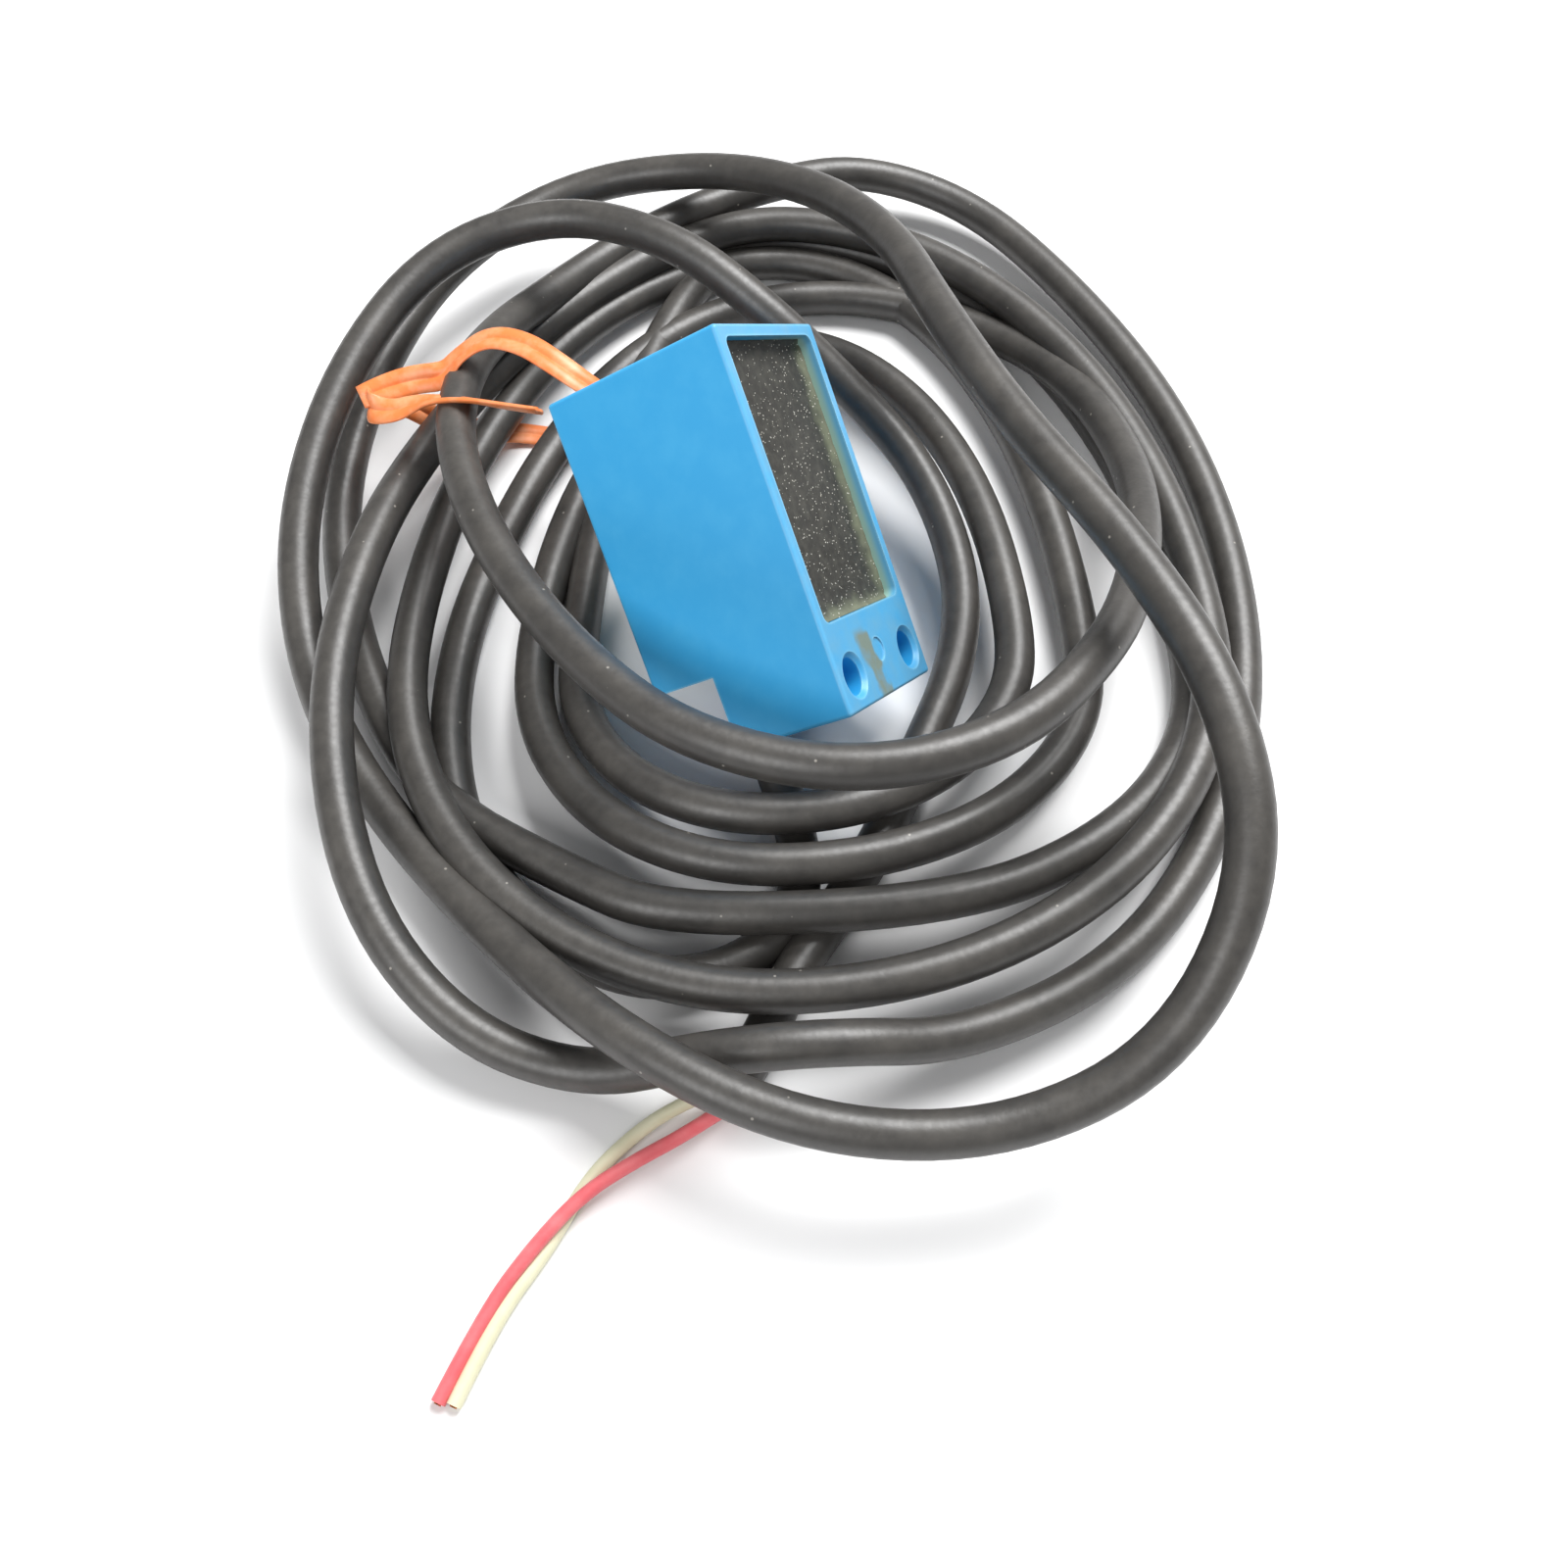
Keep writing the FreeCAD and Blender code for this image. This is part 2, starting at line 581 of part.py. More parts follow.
faults = [item.Label for item in document.Objects if "Invalid" in item.State or "Error" in item.State]
faults += [item.Label for item in sub_parts
           if item.Shape.isNull() or not item.Shape.isValid() or item.Shape.Volume <= 0]
if faults:
    raise RuntimeError(f"faulty: {faults}")

os.makedirs("parts", exist_ok=True)
for item in sub_parts:
    item.Shape.exportStep(f"parts/{item.Label}.step")
    box = item.Shape.BoundBox
    print(f"{item.Label}: {len(item.Shape.Solids)} solid(s), {item.Shape.Volume:.1f} mm3, z from {box.ZMin:.2f}")
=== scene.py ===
"""A square inductive proximity sensor and its two-metre lead, lying in a loose coil.

The sensor's block leans inside the coil of its own lead. The lead leaves the block, goes round under
the turns, comes back over them in wide loops and ends in two insulated conductors. An orange twist tie
holds the turns on the left. Places are in millimetres until they are made metres.
"""
from __future__ import annotations

import json
import logging
import math
from dataclasses import dataclass
from enum import Enum
from typing import Any, Iterable, Sequence

import bmesh
import bpy
from mathutils import Matrix, Vector, noise

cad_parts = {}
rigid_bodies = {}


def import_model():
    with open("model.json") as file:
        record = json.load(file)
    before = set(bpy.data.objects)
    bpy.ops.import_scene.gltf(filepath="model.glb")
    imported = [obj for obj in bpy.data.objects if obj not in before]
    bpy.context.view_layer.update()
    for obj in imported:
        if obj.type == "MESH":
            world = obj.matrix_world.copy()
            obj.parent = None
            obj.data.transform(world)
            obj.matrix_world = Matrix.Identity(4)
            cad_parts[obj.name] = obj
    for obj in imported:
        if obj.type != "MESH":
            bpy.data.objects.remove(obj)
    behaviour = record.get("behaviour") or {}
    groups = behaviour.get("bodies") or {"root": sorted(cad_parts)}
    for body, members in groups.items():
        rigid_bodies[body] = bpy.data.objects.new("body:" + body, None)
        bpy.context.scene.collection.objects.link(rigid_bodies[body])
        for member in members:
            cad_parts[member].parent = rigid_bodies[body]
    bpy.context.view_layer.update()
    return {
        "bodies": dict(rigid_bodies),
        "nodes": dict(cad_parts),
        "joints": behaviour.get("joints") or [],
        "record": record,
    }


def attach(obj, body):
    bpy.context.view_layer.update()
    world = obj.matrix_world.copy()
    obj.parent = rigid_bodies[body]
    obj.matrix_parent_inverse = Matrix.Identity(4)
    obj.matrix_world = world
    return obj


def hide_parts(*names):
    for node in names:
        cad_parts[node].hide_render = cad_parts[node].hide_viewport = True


log = logging.getLogger("proximity_sensor")

MM = 0.001
Point = tuple[float, float, float]
Colour = tuple[float, float, float, float]
Tree = bpy.types.NodeTree
Socket = bpy.types.NodeSocket
Piece = bpy.types.Object
Material = bpy.types.Material

# From the block's cable end to its sensing end, in metres.
BLOCK_LENGTH = 0.0335

# ------------------------------------------------------------------ the lead's route

# Control points of each stretch. The lead passes them in the order EXIT_RUN, UNDER_RUN, FRONT_LOOP,
# OUTER_LOOP, INTO_COIL, the turns, ONTO_LOOP, TOP_LOOP and CABLE_END.
FRONT_LOOP: list[Point] = [
    (35.8, 29.0, 6.2), (38.2, 19.0, 8.2), (38.0, 9.0, 11.4), (35.6, -2.0, 14.8), (31.0, -12.5, 18.2),
    (22.0, -23.0, 20.5), (9.0, -27.0, 21.0), (-4.5, -23.0, 20.0), (-14.5, -13.5, 18.5), (-23.0, -1.0, 17.5),
    (-28.0, 12.0, 16.5), (-28.5, 23.0, 15.0), (-26.6, 33.2, 11.4), (-22.6, 42.0, 8.4),
]
OUTER_LOOP: list[Point] = [
    (-17.0, 50.4, 6.8), (-8.6, 57.6, 6.8), (2.0, 63.6, 6.6), (13.0, 68.5, 5.0), (26.5, 64.0, 3.2),
    (37.0, 49.0, 3.0), (45.0, 32.0, 3.0), (49.0, 14.0, 2.8), (48.5, -5.0, 2.6), (43.0, -22.0, 2.6),
    (33.0, -35.0, 2.6), (18.5, -42.5, 4.2), (7.0, -44.0, 8.6), (-3.0, -44.6, 7.4), (-13.0, -45.2, 2.8),
    (-24.0, -41.5, 4.6), (-33.0, -31.0, 7.8), (-37.5, -13.5, 11.0), (-36.5, 4.5, 11.0),
    (-33.0, 20.0, 8.5), (-26.5, 34.5, 7.0),
]
INTO_COIL: list[Point] = [(-19.0, 45.5, 5.6), (-9.0, 54.0, 5.6)]
ONTO_LOOP: list[Point] = [(-6.5, -32.0, 5.6)]
TOP_LOOP: list[Point] = [
    (-16.0, -27.0, 4.0), (-29.0, -19.0, 2.6), (-38.0, -4.0, 2.6), (-43.0, 14.0, 3.6), (-41.5, 31.0, 6.0),
    (-34.5, 47.5, 8.5), (-21.5, 59.0, 9.5), (-6.0, 58.5, 12.5), (6.5, 50.5, 16.2), (14.5, 38.0, 19.5),
    (18.0, 23.5, 22.5), (23.5, 7.5, 24.5), (31.5, -8.0, 26.0), (37.0, -23.0, 26.5),
    (38.5, -36.0, 22.5), (32.5, -47.0, 14.0), (20.0, -52.0, 9.8), (5.0, -51.8, 10.8),
    (-9.0, -45.0, 10.8), (-22.5, -32.4, 5.6), (-34.0, -19.5, 3.4), (-42.0, -6.5, 5.0),
    (-44.5, 8.5, 9.5), (-41.5, 24.5, 13.5), (-33.5, 38.5, 16.5), (-20.5, 43.0, 18.5),
    (-8.0, 37.0, 20.0), (1.5, 30.0, 17.0), (10.2, 25.5, 10.5), (17.6, 18.0, 6.8), (21.2, 6.0, 5.0),
    (20.2, -4.5, 4.0), (15.8, -14.5, 3.0), (11.8, -23.5, 2.4), (7.6, -30.5, 2.4),
]
CABLE_END: list[Point] = [(4.0, -36.0, 2.6), (1.8, -41.2, 2.4), (-1.0, -46.2, 2.2)]
EXIT_RUN: list[Point] = [(5.5, -25.5, 2.6)]
# Under the turns at the front, up the left side and round the far side, before the front loop.
UNDER_RUN: list[Point] = [
    (3.5, -32.0, 2.2), (-2.5, -36.0, 2.1), (-11.0, -36.0, 2.1), (-19.0, -31.0, 2.1), (-25.5, -23.0, 2.1),
    (-28.6, -12.0, 2.1), (-28.6, 0.0, 2.2), (-26.0, 12.0, 2.4), (-22.0, 24.0, 2.6), (-16.0, 35.5, 2.4),
    (-8.0, 44.0, 2.2), (2.0, 48.6, 2.2), (13.0, 49.0, 2.2), (23.5, 44.5, 2.8), (31.2, 37.6, 4.2),
]
RED_WIRE: list[Point] = [
    (-0.2, -46.65, 2.2), (-4.4, -49.4, 1.9), (-8.6, -51.7, 2.0), (-12.6, -54.3, 2.0), (-16.2, -58.2, 1.5),
    (-19.6, -62.9, 0.8), (-22.5, -69.4, 0.6),
]
CREAM_WIRE: list[Point] = [
    (-1.8, -45.75, 2.2), (-5.6, -47.0, 1.4), (-9.4, -49.6, 0.7), (-12.6, -53.0, 0.6), (-15.3, -58.4, 0.6),
    (-18.8, -63.4, 0.6), (-21.3, -69.6, 0.6),
]


# ------------------------------------------------------------------ making pieces


def linear(hex_colour: str) -> Colour:
    """Turn an sRGB colour into linear light.

    Args:
        hex_colour: Six hex digits, such as "3fa9dc".

    Returns:
        Red, green, blue and an alpha of one.
    """
    parts = [int(hex_colour[i:i + 2], 16) / 255 for i in (0, 2, 4)]
    light = [c / 12.92 if c <= 0.04045 else ((c + 0.055) / 1.055) ** 2.4 for c in parts]
    return (light[0], light[1], light[2], 1.0)


def add_node(tree: Tree, kind: str, settings: dict[str, Any] | None = None,
             inputs: dict[str | int, Any] | None = None) -> bpy.types.Node:
    """Add a node with its settings, and link or set its inputs.

    Args:
        tree: The tree to add to.
        kind: The node's type name.
        settings: The node's own properties.
        inputs: A socket to link from, or a value to set, for each input's name or number.

    Returns:
        The new node.
    """
    node = tree.nodes.new(kind)
    for name, value in (settings or {}).items():
        setattr(node, name, value)
    for key, value in (inputs or {}).items():
        if isinstance(value, Socket):
            tree.links.new(value, node.inputs[key])
        else:
            node.inputs[key].default_value = value
    return node


def dress(piece: Piece, material: Material) -> None:
    """Give a piece one material in all its slots."""
    piece.data.materials.clear()
    piece.data.materials.append(material)


def new_piece(name: str, data: bpy.types.ID) -> Piece:
    """Put a mesh, curve, light or camera in the scene as an object at the origin.

    Args:
        name: The object's name.
        data: What it shows.

    Returns:
        The new object.
    """
    piece = bpy.data.objects.new(name, data)
    bpy.context.scene.collection.objects.link(piece)
    return piece


def metres(points: Iterable[Sequence[float]]) -> list[Vector]:
    """Places in millimetres, as vectors in metres."""
    return [Vector(point) * MM for point in points]


def spline_curve(name: str, points: Sequence[Vector], thickness: float = 0.0) -> bpy.types.Curve:
    """A smooth open curve with the points as its control points.

    Args:
        name: The curve's name.
        points: Control points in metres.
        thickness: Diameter in metres, or zero for a bare line.

    Returns:
        The curve's data.
    """
    steps_per_run = 8
    curve = bpy.data.curves.new(name, "CURVE")
    curve.dimensions = "3D"
    spline = curve.splines.new("NURBS")
    spline.points.add(len(points) - 1)
    for control, point in zip(spline.points, points):
        control.co = (*point, 1.0)
    spline.order_u = 3
    spline.use_endpoint_u = True
    spline.resolution_u = steps_per_run
    curve.resolution_u = steps_per_run
    curve.bevel_depth = thickness / 2
    curve.bevel_resolution = 6
    curve.use_fill_caps = thickness > 0
    return curve


def along_spline(points: Sequence[Vector]) -> list[Vector]:
    """Read the points that a bare spline passes.

    Args:
        points: The spline's control points.

    Returns:
        Evenly shared points along it.
    """
    bare = bpy.data.objects.new("bare_line", spline_curve("bare_line", points))
    mesh = bpy.data.meshes.new_from_object(bare)
    line = [vertex.co.copy() for vertex in mesh.vertices]
    bpy.data.meshes.remove(mesh)
    bpy.data.curves.remove(bare.data)
    return line


def length_of(line: Sequence[Vector]) -> float:
    """Length of a line through points."""
    return sum((after - before).length for before, after in zip(line, line[1:]))


def plain_mesh(name: str, form: bmesh.types.BMesh) -> bpy.types.Mesh:
    """Turn a closed form into a smooth mesh with its faces outwards.

    Args:
        name: The mesh's name.
        form: The form, which is used up.

    Returns:
        The mesh.
    """
    bmesh.ops.recalc_face_normals(form, faces=form.faces)
    mesh = bpy.data.meshes.new(name)
    form.to_mesh(mesh)
    form.free()
    mesh.shade_smooth()
    return mesh


def geometry_tree(name: str, sizes: Sequence[str]) -> Tree:
    """An empty Geometry Nodes tree, from a geometry and named sizes to a geometry.

    Args:
        name: The tree's name.
        sizes: Names of its number inputs.

    Returns:
        The tree, with no nodes in it yet.
    """
    tree = bpy.data.node_groups.new(name, "GeometryNodeTree")
    tree.is_modifier = True
    tree.interface.new_socket("Geometry", in_out="INPUT", socket_type="NodeSocketGeometry")
    for size in sizes:
        tree.interface.new_socket(size, in_out="INPUT", socket_type="NodeSocketFloat")
    tree.interface.new_socket("Geometry", in_out="OUTPUT", socket_type="NodeSocketGeometry")
    return tree


def end_tree(tree: Tree, geometry: Socket, material: Material) -> None:
    """Make a tree's instances real, dress them and hand them out.

    Args:
        tree: The tree.
        geometry: What it has made.
        material: The material of all of it.
    """
    made = add_node(tree, "GeometryNodeRealizeInstances", None, {"Geometry": geometry})
    coated = add_node(tree, "GeometryNodeSetMaterial", None,
                      {"Geometry": made.outputs["Geometry"], "Material": material})
    add_node(tree, "NodeGroupOutput", None, {"Geometry": coated.outputs["Geometry"]})


def evaluated(name: str, data: bpy.types.ID, tree: Tree, sizes: dict[str, Any], material: Material) -> Piece:
    """Run a Geometry Nodes tree on a mesh or curve, and keep the result as a plain mesh.

    Args:
        name: The new piece's name.
        data: What the tree starts from.
        tree: The tree.
        sizes: Values of its named inputs.
        material: The material that the result keeps.

    Returns:
        The new piece.
    """
    holder = new_piece(f"{name}_holder", data)
    modifier = holder.modifiers.new("shape", "NODES")
    modifier.node_group = tree
    for socket in tree.interface.items_tree:
        if getattr(socket, "in_out", "") == "INPUT" and socket.name in sizes:
            modifier[socket.identifier] = sizes[socket.name]
    graph = bpy.context.evaluated_depsgraph_get()
    mesh = bpy.data.meshes.new_from_object(holder.evaluated_get(graph), depsgraph=graph)
    bpy.data.objects.remove(holder)
    mesh.name = name
    piece = new_piece(name, mesh)
    dress(piece, material)
    return piece


# ------------------------------------------------------------------ places on the block


@dataclass(frozen=True)
class SensorFrame:
    """The block's own frame: X out of the wide side, Y out of the open side, Z to the sensing end."""

    across: Vector
    outward: Vector
    along: Vector
    base: Vector

    @classmethod
    def from_record(cls, record: dict[str, Any], length: float) -> SensorFrame:
        """Work the frame out from the record's mounts.

        Args:
            record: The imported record.
            length: The block's length in metres.

        Returns:
            The block's frame.
        """
        mounts = {mount["name"]: mount for mount in record["mounts"]}
        outward = Vector(mounts["screw_holes"]["axis"]).normalized()
        along = Vector(mounts["sensing_face"]["axis"]).normalized()
        base = Vector(mounts["sensing_face"]["pos_m"]) - along * length
        return cls(outward.cross(along).normalized(), outward, along, base)

    @property
    def matrix(self) -> Matrix:
        """The frame as a matrix, in metres."""
        turned = Matrix((self.across, self.outward, self.along)).transposed().to_4x4()
        return Matrix.Translation(self.base) @ turned

    def at(self, x: float, y: float, z: float) -> Vector:
        """A place in the block, in millimetres, as a place in the part's frame, in metres."""
        return self.matrix @ (Vector((x, y, z)) * MM)


# ------------------------------------------------------------------ finishes


class MixSocket(Enum):
    """Numbers of the Mix node's colour sockets, whose names other sockets share."""

    BELOW = 6
    ABOVE = 7
    RESULT = 2


class Axis(Enum):
    """What a stain's edge on the block is measured along."""

    ACROSS = "across"
    OUTWARD = "outward"
    ALONG = "along"
    SWAYED = "across, leaning and wavy"


@dataclass(frozen=True)
class Edge:
    """A soft edge of a stain on the block, in millimetres.

    Args:
        axis: What it is measured along.
        outside: Where the stain has faded away.
        inside: Where the stain has its full strength.
    """

    axis: Axis
    outside: float
    inside: float


@dataclass(frozen=True)
class Finish:
    """A surface of one material, mottled and grained.

    Args:
        name: The material's name.
        base: Its main colour.
        worn: Its colour where it is rubbed or dusty.
        roughness: Of the clean surface.
        mottle_mm: Size of the patches of uneven colour.
        grain_mm: Size of the fine grain that the light catches.
        relief_mm: Depth of that grain.
        wear: Share of the worn colour, from 0 to 1.
        ior: Refractive index.
        metallic: One for a metal.
        worn_from: Strength of the mottle at which the worn colour starts.
        worn_full: Strength of the mottle at which it has its full share.
        roughness_swing: How much smoother or rougher the grain is.
        relief_strength: Share of the grain's relief that shows.
    """

    name: str
    base: str
    worn: str
    roughness: float
    mottle_mm: float
    grain_mm: float
    relief_mm: float = 0.01
    wear: float = 0.4
    ior: float = 1.5
    metallic: float = 0.0
    worn_from: float = 0.42
    worn_full: float = 0.75
    roughness_swing: float = 0.1
    relief_strength: float = 0.6

    def coordinates(self, tree: Tree) -> Socket:
        """The place on the object that patterns are drawn from."""
        return add_node(tree, "ShaderNodeTexCoord").outputs["Object"]

    def stained(self, tree: Tree, colour: Any, stains: Sequence[tuple[Socket, str]]) -> Socket:
        """Lay stains over a colour, each on the ones before it.

        Args:
            tree: The material's tree.
            colour: The colour below, a value or a socket.
            stains: The share and the colour of each.

        Returns:
            The topmost colour's socket.
        """
        for share, stain in stains:
            mix = add_node(tree, "ShaderNodeMix", {"data_type": "RGBA"},
                           {0: share, MixSocket.BELOW.value: colour, MixSocket.ABOVE.value: linear(stain)})
            colour = mix.outputs[MixSocket.RESULT.value]
        return colour

    def colour(self, tree: Tree, place: Socket) -> Socket:
        """Base colour with patches of the worn one.

        Args:
            tree: The material's tree.
            place: Coordinates in metres.

        Returns:
            The colour's socket.
        """
        patches = add_node(tree, "ShaderNodeTexNoise", None,
                           {"Vector": place, "Scale": 1 / (self.mottle_mm * MM), "Detail": 5.0,
                            "Roughness": 0.6})
        share = add_node(tree, "ShaderNodeMapRange", None,
                         {"Value": patches.outputs["Fac"], "From Min": self.worn_from,
                          "From Max": self.worn_full, "To Min": 0.0, "To Max": self.wear})
        return self.stained(tree, linear(self.base), [(share.outputs["Result"], self.worn)])

    def height(self, tree: Tree, place: Socket) -> Socket:
        """Fine grain, as a height from 0 to 1."""
        grain = add_node(tree, "ShaderNodeTexNoise", None,
                         {"Vector": place, "Scale": 1 / (self.grain_mm * MM), "Detail": 3.0})
        return grain.outputs["Fac"]

    def build(self) -> Material:
        """Make the material.

        Returns:
            A Principled material with uneven colour, roughness and relief.
        """
        smoothest = 0.03
        material = bpy.data.materials.new(self.name)
        material.use_nodes = True
        tree = material.node_tree
        tree.nodes.clear()
        place = self.coordinates(tree)
        height = self.height(tree, place)
        rough = add_node(tree, "ShaderNodeMapRange", None,
                         {"Value": height, "To Min": max(self.roughness - self.roughness_swing, smoothest),
                          "To Max": min(self.roughness + self.roughness_swing, 1.0)})
        relief = add_node(tree, "ShaderNodeBump", None,
                          {"Height": height, "Distance": self.relief_mm * MM,
                           "Strength": self.relief_strength})
        shader = add_node(tree, "ShaderNodeBsdfPrincipled", None,
                          {"Base Color": self.colour(tree, place), "Roughness": rough.outputs["Result"],
                           "Normal": relief.outputs["Normal"], "IOR": self.ior, "Metallic": self.metallic})
        add_node(tree, "ShaderNodeOutputMaterial", None, {"Surface": shader.outputs["BSDF"]})
        return material


@dataclass(frozen=True)
class BlockFinish(Finish):
    """A finish with stains that are placed in the block's own frame.

    Args:
        sensor: The block's frame.
        wave_mm: Size of the waves along a stain's edge.
        wave_detail: How ragged they are.
        sway_mm: How far they push the edge, from one side to the other.
    """

    sensor: SensorFrame | None = None
    wave_mm: float = 2.2
    wave_detail: float = 3.0
    sway_mm: float = 3.4

    def coordinates(self, tree: Tree) -> Socket:
        """The place in the block's own frame, in metres.

        Args:
            tree: The material's tree.

        Returns:
            The coordinates' socket.
        """
        place = add_node(tree, "ShaderNodeTexCoord").outputs["Object"]
        turned = add_node(tree, "ShaderNodeMapping", {"vector_type": "TEXTURE"},
                          {"Vector": place, "Location": self.sensor.base,
                           "Rotation": self.sensor.matrix.to_euler("XYZ")})
        return turned.outputs["Vector"]

    def waves(self, tree: Tree, place: Socket) -> tuple[Socket, Socket]:
        """Make the waves of the stains' edges.

        Args:
            tree: The material's tree.
            place: Coordinates in metres.

        Returns:
            The waves from 0 to 1, and how far they push an edge, in metres.
        """
        wave = add_node(tree, "ShaderNodeTexNoise", None,
                        {"Vector": place, "Scale": 1 / (self.wave_mm * MM), "Detail": self.wave_detail})
        sway = add_node(tree, "ShaderNodeMath", {"operation": "MULTIPLY_ADD"},
                        {0: wave.outputs["Fac"], 1: self.sway_mm * MM, 2: -self.sway_mm / 2 * MM})
        return wave.outputs["Fac"], sway.outputs[0]

    def within(self, tree: Tree, strength: Any, edges: Sequence[Edge], ways: dict[Axis, Socket]) -> Socket:
        """Keep a stain within its soft edges.

        Args:
            tree: The material's tree.
            strength: The stain's share inside all its edges, a value or a socket.
            edges: Its edges.
            ways: The place along each axis, in metres.

        Returns:
            The stain's share everywhere.
        """
        for edge in edges:
            ramp = add_node(tree, "ShaderNodeMapRange", {"interpolation_type": "SMOOTHSTEP"},
                            {"Value": ways[edge.axis], "From Min": edge.outside * MM,
                             "From Max": edge.inside * MM})
            faded = add_node(tree, "ShaderNodeMath", {"operation": "MULTIPLY"},
                             {0: strength, 1: ramp.outputs["Result"]})
            strength = faded.outputs[0]
        return strength


@dataclass(frozen=True)
class MouldedPolyester(BlockFinish):
    """Glass-filled polyester, injection moulded: satin, with rubbed rims that carry a painted highlight, and
    resin left on it.

    Args:
        wash: Colour of the open side's faces, which are rubbed and greyed.
        rim_wear_and_highlight: Colour of the rims: rubbing, and a painted highlight along each edge.
        smear: Colour of the resin spilt between the screw holes.
        film: Colour of the resin's thin film inside the open side.
        rim_mm: How far the rubbing and painted highlight reach from an edge.
        rim_from: Cosine between the rounded and the flat normal at which the rubbing and painted highlight
            start.
        rim_full: The same cosine where they have their full share.
        rim_strength: That share.
        smear_strength: How much the smear covers, times the waves.
        smear_lean: How far it moves across for each millimetre along.
        film_strength: The film's share.
        wash_edges: Where the greying is.
        smear_edges: Where the smear is.
        film_edges: Where the film climbs the low wall and the wall away from the wide side.
    """

    wash: str = "6fa6c4"
    # Colour of the rims: rubbing, and a painted highlight along each edge.
    rim_wear_and_highlight: str = "9cd6ee"
    smear: str = "78887f"
    film: str = "a6c8b2"
    rim_mm: float = 0.35
    rim_from: float = 0.995
    rim_full: float = 0.85
    rim_strength: float = 0.7
    smear_strength: float = 1.9
    smear_lean: float = -0.32
    film_strength: float = 0.9
    wash_edges: tuple[Edge, ...] = (Edge(Axis.OUTWARD, 8.5, 8.95),)
    smear_edges: tuple[Edge, ...] = (
        Edge(Axis.SWAYED, -0.9, 0.0), Edge(Axis.SWAYED, 2.5, 1.4), Edge(Axis.ALONG, 6.8, 5.6),
        Edge(Axis.OUTWARD, 8.6, 8.9),
    )
    film_edges: tuple[Edge, ...] = (
        Edge(Axis.ALONG, 7.5, 7.9), Edge(Axis.ALONG, 32.7, 32.3), Edge(Axis.ACROSS, 4.0, -6.0),
        Edge(Axis.ACROSS, -8.25, -7.9), Edge(Axis.OUTWARD, 9.1, 7.9),
    )

    def rims(self, tree: Tree) -> Socket:
        """Find the rims, where a rounded normal leaves the face's own.

        Args:
            tree: The material's tree.

        Returns:
            The share of rubbing and painted highlight.
        """
        rounded = add_node(tree, "ShaderNodeBevel", {"samples": 4}, {"Radius": self.rim_mm * MM})
        facing = add_node(tree, "ShaderNodeNewGeometry")
        alike = add_node(tree, "ShaderNodeVectorMath", {"operation": "DOT_PRODUCT"},
                         {0: rounded.outputs["Normal"], 1: facing.outputs["True Normal"]})
        rim = add_node(tree, "ShaderNodeMapRange", None,
                       {"Value": alike.outputs["Value"], "From Min": self.rim_from,
                        "From Max": self.rim_full, "To Max": self.rim_strength})
        return rim.outputs["Result"]

    def colour(self, tree: Tree, place: Socket) -> Socket:
        """Blue with greyed faces, rubbed rims with a painted highlight, the smear on the lug and the film in
        the open side.

        Args:
            tree: The material's tree.
            place: Coordinates in the block's frame, in metres.

        Returns:
            The colour's socket.
        """
        plain = super().colour(tree, place)
        wave, sway = self.waves(tree, place)
        across, outward, along = add_node(tree, "ShaderNodeSeparateXYZ", None, {0: place}).outputs[:3]
        leaning = add_node(tree, "ShaderNodeMath", {"operation": "MULTIPLY_ADD"},
                           {0: along, 1: self.smear_lean, 2: across})
        swayed = add_node(tree, "ShaderNodeMath", {"operation": "ADD"}, {0: leaning.outputs[0], 1: sway})
        ways = {Axis.ACROSS: across, Axis.OUTWARD: outward, Axis.ALONG: along, Axis.SWAYED: swayed.outputs[0]}
        smear = add_node(tree, "ShaderNodeMath", {"operation": "MULTIPLY", "use_clamp": True},
                         {0: self.within(tree, wave, self.smear_edges, ways), 1: self.smear_strength})
        return self.stained(tree, plain, [
            (self.within(tree, wave, self.wash_edges, ways), self.wash),
            # The rims are lightened: rubbing, and a painted highlight along each edge.
            (self.rims(tree), self.rim_wear_and_highlight),
            (smear.outputs[0], self.smear),
            (self.within(tree, self.film_strength, self.film_edges, ways), self.film),
        ])


@dataclass(frozen=True)
class CastEpoxy(BlockFinish):
    """Filled epoxy, poured and cured: dull, uneven, paler and greenish where it meets the walls.

    Args:
        film: Colour of the thin greenish edge.
        film_strength: Its share.
        film_edges: Where it is: on the side away from the wide wall, and on the low side.
    """

    wave_mm: float = 1.6
    wave_detail: float = 4.0
    sway_mm: float = 2.4
    film: str = "7d826a"
    film_strength: float = 0.7
    film_edges: tuple[Edge, ...] = (Edge(Axis.ACROSS, -5.9, -8.1), Edge(Axis.ALONG, 9.6, 7.8))

    def colour(self, tree: Tree, place: Socket) -> Socket:
        """Dark grey with dust, and the greenish edge on two sides.

        Args:
            tree: The material's tree.
            place: Coordinates in the block's frame, in metres.

        Returns:
            The colour's socket.
        """
        plain = super().colour(tree, place)
        across, _, along = add_node(tree, "ShaderNodeSeparateXYZ", None, {0: place}).outputs[:3]
        ways = {Axis.ACROSS: across, Axis.ALONG: along}
        sway = self.waves(tree, place)[1]
        shares = []
        for edge in self.film_edges:
            moved = add_node(tree, "ShaderNodeMath", {"operation": "ADD"}, {0: ways[edge.axis], 1: sway})
            shares.append(self.within(tree, self.film_strength, [edge], {edge.axis: moved.outputs[0]}))
        either = add_node(tree, "ShaderNodeMath", {"operation": "MAXIMUM"}, {0: shares[0], 1: shares[1]})
        return self.stained(tree, plain, [(either.outputs[0], self.film)])


